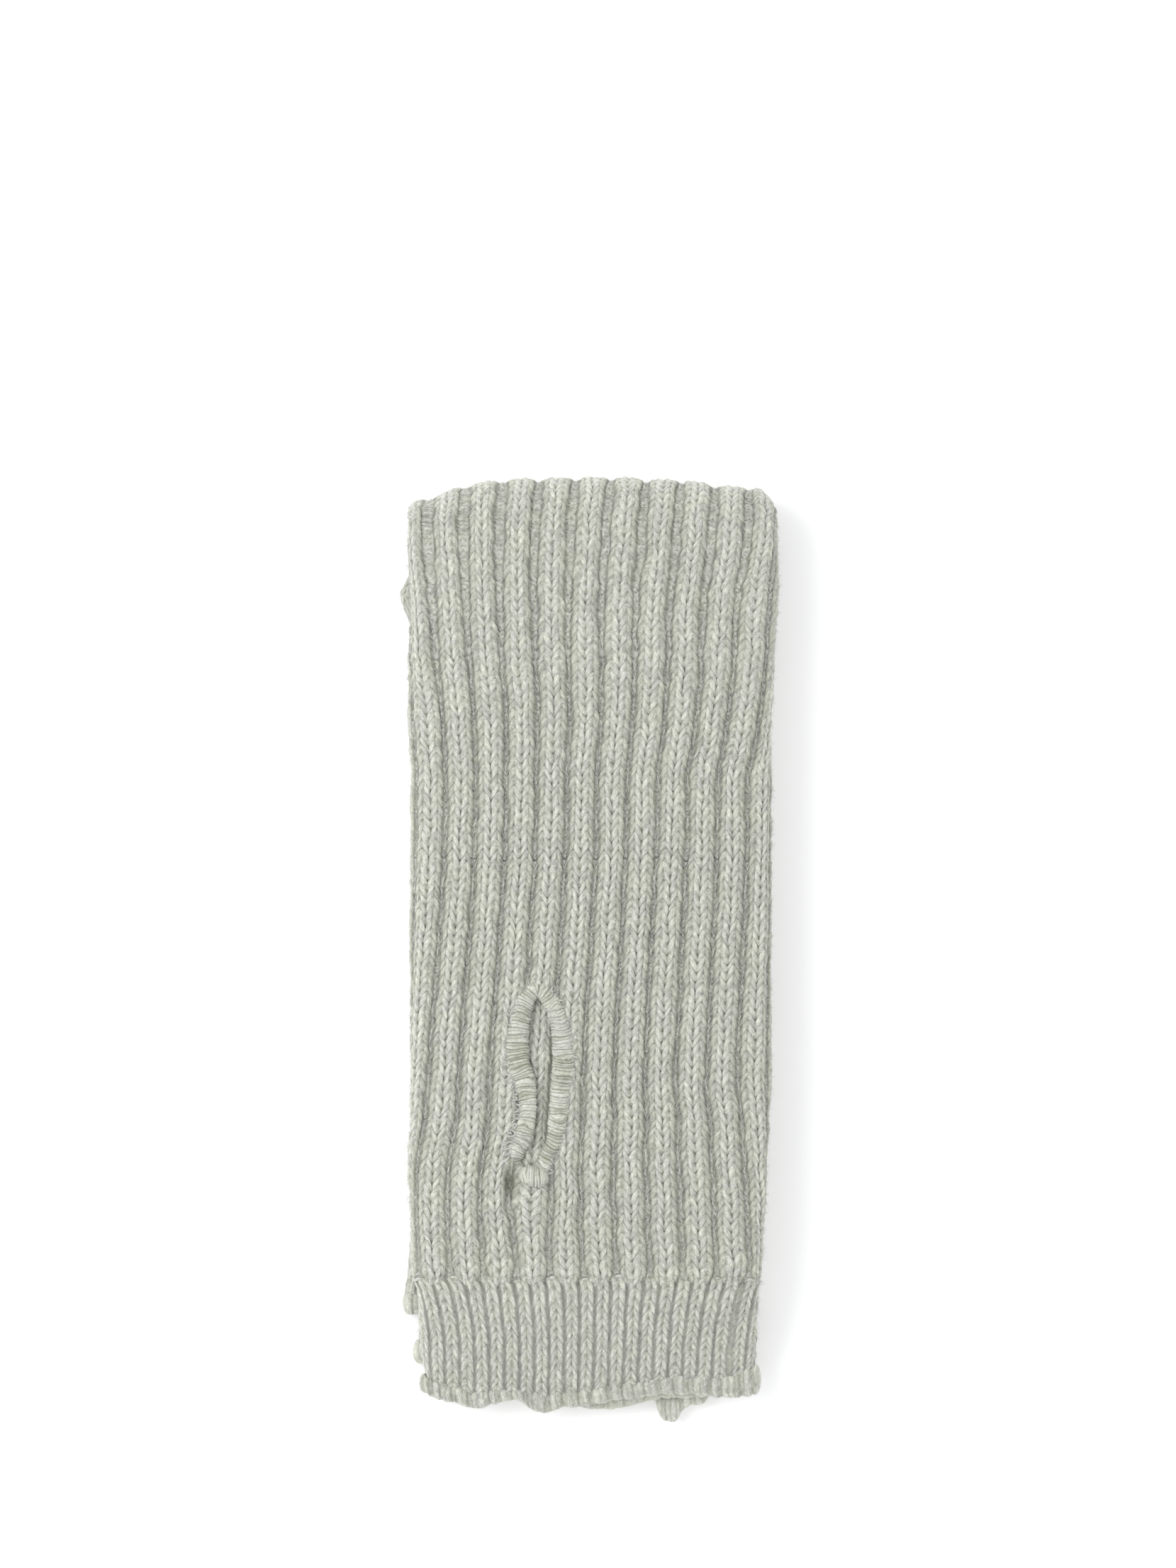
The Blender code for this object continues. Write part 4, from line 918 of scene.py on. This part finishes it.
def rolled_edge(name, table, layer, edges, proud, lump_pitch, seed, lumpy):
    """Sections round the roll, first in the straight stack and then laid down. layer counts tubes
    from the table up; proud lifts the roll's top. A section is an oval that swells with each lump,
    as far as lumpy says, and with each strand."""
    left, right = edges[0] + ROLL_LIP + ROLL_HALF_HEIGHT, edges[1] - ROLL_LIP - ROLL_HALF_HEIGHT
    upper = np.linspace(left, right, int((right - left) / ROLL_STEP))
    lower = np.linspace(right, left, int((right - left) / (2 * ROLL_STEP)))
    half_turn = np.linspace(0, pi, 16)[1:-1]
    bend, level = np.sin(half_turn), np.cos(half_turn)
    x = np.concatenate([upper, right + ROLL_LIP * bend, lower, left - ROLL_LIP * bend])
    lift = np.concatenate([0 * upper + 1, level, 0 * lower - 1, -level])
    outward = np.concatenate([0 * upper, bend, 0 * lower, -bend])
    y, half = roll_line(x, lift, table)
    length, whole = run_length(np.stack([x, y, lift * ROLL_LIP], -1))
    x, y, lift, outward, half = (part[:, None] for part in (x, y, lift, outward, half))
    lumps, wraps = round(whole / lump_pitch), round(whole / ROLL_WRAP)
    turn, place = places_round(20), length[:, None] / whole
    phase = place * wraps + 0.25 * np.sin(turn + 1.0) + 0.35 * wander(place * wraps * 0.3, turn * 0.5, seed)
    lump = place * lumps + 0.12 * np.sin(turn + 0.6) + 0.4 * wander(place * lumps * 0.8, 0 * turn, seed + 3)
    bulge = np.abs(np.sin(pi * lump)) ** 1.1 * lumpy
    phase = phase + 0.16 * np.sin(2 * pi * lump) * np.sin(turn)
    soft = 0.14 * wander(place * lumps * 1.3, turn * 0.7, seed + 1)
    soft = soft + 0.1 * wander(phase, turn * 0.9, seed + 2)
    swell = 1 + 0.15 * (bulge - 0.6 * lumpy) + 0.07 * (strand(phase) - 0.7) + soft * 0.6
    height = 1 + 0.28 * (bulge - 0.6 * lumpy) + 0.2 * (strand(phase) - 0.7) + soft * 1.5
    height = ROLL_HALF_HEIGHT * height * np.sin(turn)
    height = height + proud * np.maximum(lift, 0) * np.maximum(np.sin(turn), 0) * (0.75 + 0.35 * bulge)
    laid_z = (layer + 0.5) * TUBE + ROLL_LIP * lift + height * lift
    sections = settle(x + height * outward, y + half * swell * np.cos(turn), laid_z)
    uv = (turn * 2.3 + 1.9 * np.floor(phase), phase * 1.35)
    tone = each_stitch(np.floor(phase).astype(int), 0, seed + 4)
    # Painted shade: darker in the creases between strands and between lumps.
    painted_light = unit(0.95 + 0.3 * (strand(phase) - 1) + 0.3 * (bulge - lumpy))
    return tubes(name, sections[None], uv, tone, painted_light, True), sections


(outer_cuff_roll, roll_face), (inner_cuff_roll, _), (inner_arm_roll, _), (outer_arm_roll, _) = (
    rolled_edge("outer_cuff_roll", OUTER_CUFF_ROLL, 3, (-47.4, 46.2), 0.9, CUFF_LUMP, 41, 1.0),
    rolled_edge("inner_cuff_roll", INNER_CUFF_ROLL, 2, (-46.2, 44.0), 0.0, CUFF_LUMP, 47, 0.5),
    rolled_edge("inner_arm_roll", INNER_ARM_ROLL, 1, (-49.0, 44.6), 0.4, ARM_LUMP, 53, 0.1),
    rolled_edge("outer_arm_roll", OUTER_ARM_ROLL, 0, (-52.0, 44.8), 0.4, ARM_LUMP, 59, 0.1),
)

# %% [markdown]
# ## The inner arm warmer
# Inside lies the second arm warmer, folded with the first. Only its sides and ends ever show, so
# its flat faces get few points and its round sides get real ribs. It is one flattened tube that
# runs along the same kind of path, close round the fold's axis.

# %% Sweep the inner tube
INNER_DEPTH, INNER_GAP, INNER_HEM_REACH = 6.1, 0.2, 2.6
INNER_ROWS = 180
SIDE_CELLS, FLAT_CELLS, SIDE_FLAT = 22, 3, 4.2
HIDDEN_FACE = -0.6


def inner_section(cell, half):
    """A flattened tube's outline: on each side 22 cells of rib go round, then 3 cross the hidden flat.
    Gives x, the height over the tube's inner face, and the outward direction as its two parts."""
    part, place = cell // (SIDE_CELLS + FLAT_CELLS), cell % (SIDE_CELLS + FLAT_CELLS)
    radius = INNER_DEPTH / 2
    whole = pi * radius + 2 * SIDE_FLAT
    s = np.minimum(place, SIDE_CELLS) / SIDE_CELLS * whole - SIDE_FLAT
    angle = np.clip(s / radius, 0, pi)
    straight = np.where(s < 0, -s, np.maximum(s - pi * radius, 0.0))
    over = np.maximum(place - SIDE_CELLS, 0) / FLAT_CELLS
    x = half - radius + radius * np.sin(angle) - straight
    x = np.where(place > SIDE_CELLS, x - over * (2 * (half - radius) - 2 * SIDE_FLAT), x)
    rho = radius + radius * np.cos(angle)
    flip = np.where(part == 0, 1.0, -1.0)
    return flip * x, np.where(part == 0, rho, INNER_DEPTH - rho), flip * np.sin(angle), flip * np.cos(angle)


def inner_tube():
    """The second arm warmer as one tube: from the cuff end, tightly round the fold, to the arm end. Its
    rib's relief stands out along the section's outward direction."""
    rows = stitch_rows(0, INNER_ROWS, COARSE_PLACES)
    cell = np.arange(2 * (SIDE_CELLS + FLAT_CELLS))[None, :]
    shape = knit_layout(0, 5, 2, np.s_[:100:2])
    side = cell % (SIDE_CELLS + FLAT_CELLS) < SIDE_CELLS
    up_down, _, lift = unevenness(shape, rows, 61)
    upper = FOLD_AXIS_Y - INNER_CUFF_END_Y
    bend = pi * INNER_DEPTH * 0.6
    whole = upper + bend + FOLD_AXIS_Y - INNER_HEM_Y + INNER_HEM_REACH
    fade = level_ends(rows, INNER_ROWS)
    t = (rows + up_down * fade) / INNER_ROWS * whole - ROW * shape.u * side * fade
    turn = unit((t - upper) / bend) * pi
    y = np.where(t < upper, INNER_CUFF_END_Y + t, FOLD_AXIS_Y - np.maximum(t - upper - bend, 0.0))
    centre, half = columns(INNER, OUTLINE, y)
    height = np.where(side, 0.75 * rib_height(shape, rows, VALLEY_DEPTH) + 0.7 * lift, HIDDEN_FACE)
    x, rho, out_x, out_rho = inner_section(cell + 0 * t.astype(int), half)
    x, rho = centre + x + height * out_x, rho + INNER_GAP + height * out_rho
    bent = toward_roll(x, y, -1.0, INNER_HEM_Y - 3.0, INNER_CUFF_END_Y, INNER_CUFF_ROLL, 1.0)
    y = np.where(turn < 1.0, bent, y)
    points = settle(x, y + rho * np.sin(turn), MIDDLE + rho * np.cos(turn))
    # Painted shade: darker in the rib's valleys and creases, and on the hidden flat faces.
    tone = each_stitch(2 * shape.wale, rows, 64)
    return tubes("inner_arm", points[None], strand_map(shape, rows), tone, unit(0.95 + height / 1.7), False)


inner_arm = inner_tube()

# %% [markdown]
# ## Fuzz
# Carded wool is never closed: short fibres stand off every strand and blur the stitches. Real ones
# are far thinner than a picture can show, so a few tens of thousands of thicker ones do the work.
# Each is only a bent splinter of six faces. It starts on a random cell of the cloth's own grid, so
# it can follow the strand there, and lean away from it a little.

# %% Grow fibres on a grid
FIBRE_LENGTH, FIBRE_RADIUS, FIBRE_TURN = (0.9, 2.5), 0.05, 0.75
SPLINTER = ((0, 2, 1), (0, 3, 2), (0, 1, 3), (4, 1, 2), (4, 2, 3), (4, 3, 1))
SPLINTER_ALONG = np.array([0.0, 1.0, 1.0, 1.0, 2.0])


def fuzz(name, grids, per_mm2, seed):
    """Splinters of two tips and a ring of three, spread evenly by area over the given grids of points.
    Each runs along the strand, turned by chance, and rises a little off the cloth."""
    choice = np.random.default_rng(seed)
    roots, ahead, across = [], [], []
    for grid, open_cells in grids:
        corner = grid[:-1, :-1] / MM
        right, down = grid[:-1, 1:] / MM - corner, grid[1:, :-1] / MM - corner
        normal = np.cross(right, down)
        area = np.linalg.norm(normal, axis=-1)
        area = area * open_cells * (np.abs(normal[..., 2]) > 0.72 * area)
        count = int(area.sum() * per_mm2)
        cell = choice.choice(area.size, count, p=(area / area.sum()).ravel())
        share = choice.uniform(0, 1, (2, count, 1))
        corner, right, down = (part.reshape(-1, 3)[cell] for part in (corner, right, down))
        roots.append(corner + share[0] * right + share[1] * down)
        ahead.append(right)
        across.append(down)
    roots, ahead, across = (np.concatenate(part) for part in (roots, ahead, across))
    up = directed(np.cross(ahead, across), 1e-9)
    up *= np.where(np.median(up[:, 2]) < 0, -1.0, 1.0)
    ahead = directed(ahead, 1e-9)
    beside = np.cross(up, ahead)
    n = len(roots)
    angle = choice.normal(0, FIBRE_TURN, (n, 1))
    run = ahead * np.cos(angle) + beside * np.sin(angle)
    side = np.cross(up, run)
    size = choice.uniform(*FIBRE_LENGTH, (n, 1))
    rise = choice.uniform(0.02, 0.32, (n, 1))
    middle = roots + run * size / 2 + up * rise + side * choice.normal(0, 0.2, (n, 1))
    tip = roots + run * size + up * rise * choice.uniform(-0.6, 1.3, (n, 1))
    turn = np.array([0.0, 2 * pi / 3, 4 * pi / 3])[None, :, None]
    ring = middle[:, None] + FIBRE_RADIUS * (up[:, None] * np.cos(turn) + side[:, None] * np.sin(turn))
    points = np.concatenate([(roots - FIBRE_RADIUS * up)[:, None], ring, tip[:, None]], axis=1)
    faces = np.concatenate([5 * np.arange(n)[:, None] + np.array(corners) for corners in SPLINTER])
    uv = (SPLINTER_ALONG, choice.uniform(0, 50, (n, 1)))
    return put_mesh(name, points * MM, [faces], uv, choice.uniform(0, 1, (n, 1)), 1.0)


def upper_face(grid):
    """True for the cells of a grid that lie on the pair's upper half, over 10 mm high."""
    return grid[:-1, :-1, 2] > 0.01


low_centres = photo_xy((low_front[:-1, :-1] + low_front[1:, 1:]) / 2)
low_fuzz = fuzz("low_fuzz", [(low_front, upper_face(low_front) & outside_slit(low_centres))], 2.4, 71)
high_fuzz = fuzz("high_fuzz", [(high_front, upper_face(high_front))], 2.1, 72)
cuff_fuzz = fuzz("cuff_fuzz", [(grid, upper_face(grid)) for grid in (cuff_front, roll_face)], 2.4, 73)

# %% [markdown]
# ## Who stands for what
# Each knitted piece rides on the one body and takes the place of the solid it covers, which is hidden.

# %% Ride and replace
PIECES = {
    "outer_rib_tube": (arm_low, arm_high, arm_under, low_fuzz, high_fuzz),
    "inner_layers": (palm_wall, inner_arm),
    "thumb_edge": (binding, loops, knob, fray),
    "outer_hand_cuff": (knots, cuff, cuff_fuzz),
    "outer_cuff_edge": (outer_cuff_roll,),
    "inner_cuff_edge": (inner_cuff_roll,),
    "inner_arm_edge": (inner_arm_roll,),
    "outer_arm_edge": (outer_arm_roll,),
}
for node, pieces in PIECES.items():
    for piece in pieces:
        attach(piece, "root")
        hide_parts(node)
        "edge_thread" if node == "thumb_edge" else "rib_knit"

# %% [markdown]
# ## Wool
# The yarn is a heather: grey-blue and yellow-green fibres were spun together, so neither colour is
# ever flat. Patches a few millimetres wide lean one way or the other, each stitch has its own
# tone, and fine fibres run along every strand. Thin pale hairs cross them in two directions: loose
# fibres, painted as highlights. Deep in a hollow the colour carries painted shade, darker and
# yellower, and the painted hair highlights are left out there. The bump follows the strands too,
# because the mesh's own map measures millimetres along and across them.

# %% Calculate with sockets
class Value:
    """A socket that can be calculated with: a + b, a * b or 1 - a adds a Math node."""

    def __init__(self, bench, socket):
        self.bench, self.socket = bench, socket

    def math(self, operation, *others):
        """The result of one Math node on this value and the others."""
        return self.bench.node("Math", {"operation": operation}, dict(enumerate((self, *others))))

    def __add__(self, other):
        return self.math("ADD", other)

    def __sub__(self, other):
        return self.math("SUBTRACT", other)

    def __rsub__(self, other):
        return self.bench.node("Math", {"operation": "SUBTRACT"}, {0: other, 1: self})

    def __mul__(self, other):
        return self.math("MULTIPLY", other)

    def unit(self):
        """The value, kept between 0 and 1."""
        return self.math("MAXIMUM", 0.0).math("MINIMUM", 1.0)

    __radd__, __rmul__ = __add__, __mul__


class Bench:
    """The nodes of one material."""

    def __init__(self, name):
        self.material = bpy.data.materials.new(name)
        self.material.use_nodes = True
        self.tree = self.material.node_tree
        self.shader = self.tree.nodes["Principled BSDF"]

    def give(self, socket, value):
        """Sets a socket to a number or colour, or links a value into it."""
        if isinstance(value, Value):
            self.tree.links.new(value.socket, socket)
        else:
            socket.default_value = value

    def node(self, kind, settings, sockets, out=0):
        """Adds one node: its settings first, then each socket's number or link."""
        made = self.tree.nodes.new("ShaderNode" + kind)
        for key, value in settings.items():
            setattr(made, key, value)
        for key, value in sockets.items():
            self.give(made.inputs[key], value)
        return Value(self, made.outputs[out])

    def noise(self, place, scale, detail, roughness, out=0):
        """Soft noise round 0.5; output 1 is the same as a colour, for use as a vector."""
        sockets = {"Vector": place, "Scale": scale, "Detail": detail, "Roughness": roughness}
        return self.node("TexNoise", {}, sockets, out)

    def streaks(self, place, angle, scale, detail, roughness):
        """Noise read at a place that was turned by angle and stretched, so that it lies in streaks."""
        turned = self.node("Mapping", {}, {"Vector": place, "Rotation": (0, 0, angle), "Scale": scale})
        return self.noise(turned, 1.0, detail, roughness)

    def blend(self, share, first, second, kind="MIX"):
        """A colour between two others."""
        sockets = {"Factor": share, 6: first, 7: second}
        return self.node("Mix", {"data_type": "RGBA", "blend_type": kind}, sockets, 2)

    def wear(self, **sockets):
        """Gives the shader its numbers and links; an underscore stands for a space."""
        for key, value in sockets.items():
            self.give(self.shader.inputs[key.replace("_", " ")], value)
        return self.material


# %% Mix the heather
COOL, WARM = (0.705, 0.713, 0.665, 1.0), (0.715, 0.723, 0.62, 1.0)
# MEAN_LIGHT is the wool's own lightness. The next three are painted shade: the grey's scale deep in a
# hollow, what open tops add to it, and the blue taken out in hollows.
MEAN_LIGHT, PAINTED_SHADE_BASE, PAINTED_LIT_GAIN, PAINTED_SHADE_YELLOW = 0.862, 0.41, 0.62, 0.055
FIBRE_DEPTH = 0.00022
# Painted highlights of loose hairs: their stretch, where they begin, how sharp they are and the light they
# add.
HAIR_STRETCH, HAIR_FROM, HAIR_SHARP, HAIR_HIGHLIGHT = (3000.0, 650.0, 900.0), 0.58, 5.0, 0.14


def wool(name):
    """The wool: a colour between cool and warm, times a grey that carries fibres, stitch tones,
    painted shade in the hollows and painted highlights of hairs; the same fibres as a bump; a little
    sheen and light that passes through."""
    bench = Bench(name)
    place = bench.node("TexCoord", {}, {}, "Object")
    strand = bench.node("UVMap", {"uv_map": "strand"}, {})
    labels = [{"attribute_name": label} for label in ("tone", "painted_light")]
    tone, painted_light = (bench.node("Attribute", label, {}, "Fac") for label in labels)
    patch = bench.noise(place, 150.0, 3.0, 0.55)
    fleck = bench.noise(place, 620.0, 2.0, 0.6)
    bend = bench.noise(place, 700.0, 1.0, 0.5, 1)
    push = {0: bend, 1: (0.7, 0.5, 0.0), 2: strand}
    pushed = bench.node("VectorMath", {"operation": "MULTIPLY_ADD"}, push)
    streak = bench.streaks(pushed, 0.25, (0.6, 4.2, 1.0), 2.0, 0.6)
    thread = bench.streaks(pushed, -0.3, (1.2, 5.5, 1.0), 1.0, 0.5)
    # Pale hairs in two directions, painted as highlights of loose fibres.
    one_way, other_way = (bench.streaks(place, angle, HAIR_STRETCH, 1.0, 0.5) for angle in (0.5, -0.65))
    hair = ((one_way.math("MAXIMUM", other_way) - HAIR_FROM) * HAIR_SHARP).unit()
    # Besides heather patches, flecks and stitch tone, the lean is pushed warm in the hollows: painted
    # shade.
    lean = (patch - 0.5) * 1.2 + (fleck - 0.5) * 0.9 + (tone - 0.5) * 0.3 + (1.0 - painted_light) * 0.6 + 0.4
    colour = bench.blend(lean.unit(), COOL, WARM)
    fibre = (streak - 0.5) * 0.65 + (thread - 0.5) * 0.8 + (fleck - 0.5) * 0.4
    light = MEAN_LIGHT + fibre + (tone - 0.5) * 0.10
    # Painted shade: the grey is darker and yellower where the painted light is low, and the painted hair
    # highlights show only where it is high.
    shade = light * (PAINTED_SHADE_BASE + painted_light * PAINTED_LIT_GAIN) + hair * painted_light * HAIR_HIGHLIGHT
    blue = shade - (1.0 - painted_light) * PAINTED_SHADE_YELLOW
    grey = bench.node("CombineColor", {}, {0: shade, 1: shade, 2: blue})
    bump = bench.node("Bump", {}, {"Strength": 1.0, "Distance": FIBRE_DEPTH, "Height": streak + thread})
    return bench.wear(
        Base_Color=bench.blend(1.0, colour, grey, "MULTIPLY"), Roughness=0.95, Normal=bump,
        Sheen_Weight=0.25, Sheen_Roughness=0.45, Specular_IOR_Level=0.15,
        Subsurface_Weight=0.5, Subsurface_Radius=(1.0, 1.0, 0.9), Subsurface_Scale=0.0012,
    )


rib_wool = wool("rib_wool")
for piece in sum(PIECES.values(), ()):
    piece.data.materials.append(rib_wool)

# %% [markdown]
# ## Table, light and camera
# The pair lies on a white table and is seen from straight above. A large soft lamp stands at the
# upper left, so the shadow on the right is wide and faint, and a pale sky fills the rest.

# %% Stage
def flat_sheet(name, size, height):
    """A square of one face, size metres wide, lying at a height."""
    mesh = bpy.data.meshes.new(name)
    corners = np.array([(-1, -1, 0), (1, -1, 0), (1, 1, 0), (-1, 1, 0)]) * size / 2 + (0, 0, height)
    mesh.from_pydata(corners.tolist(), [], [(0, 1, 2, 3)])
    piece = bpy.data.objects.new(name, mesh)
    bpy.context.scene.collection.objects.link(piece)
    return piece


floor = flat_sheet("table_top", size=6.0, height=-0.0002)
floor.data.materials.append(Bench("table_white").wear(
    Base_Color=(0.93, 0.93, 0.93, 1.0), Roughness=0.9, Specular_IOR_Level=0.0,
    Emission_Color=(1.0, 1.0, 1.0, 1.0), Emission_Strength=0.18,
))

scene = bpy.context.scene
scene.view_settings.view_transform = "Standard"
world = bpy.data.worlds.new("pale_sky")
scene.world = world
world.use_nodes = True
sky = world.node_tree.nodes["Background"].inputs
sky["Color"].default_value, sky["Strength"].default_value = (0.98, 0.99, 1.0, 1.0), 0.95


def lamp(name, place, target, size, power):
    """A square soft lamp at place, turned to face target."""
    data = bpy.data.lights.new(name, "AREA")
    data.size, data.energy = size, power
    light = bpy.data.objects.new(name, data)
    scene.collection.objects.link(light)
    light.location = place
    towards = Vector(target) - Vector(place)
    light.rotation_euler = towards.to_track_quat("-Z", "Y").to_euler()


lamp("key_lamp", place=(-1.25, 0.45, 1.7), target=(0, 0, 0), size=1.2, power=19.0)

camera = bpy.data.objects.new("overhead", bpy.data.cameras.new("overhead"))
camera.data.lens = 170.0
camera.data.sensor_width = 36.0
camera.location = (-0.00013, 0.04511, 2.038)
scene.collection.objects.link(camera)
scene.camera = camera
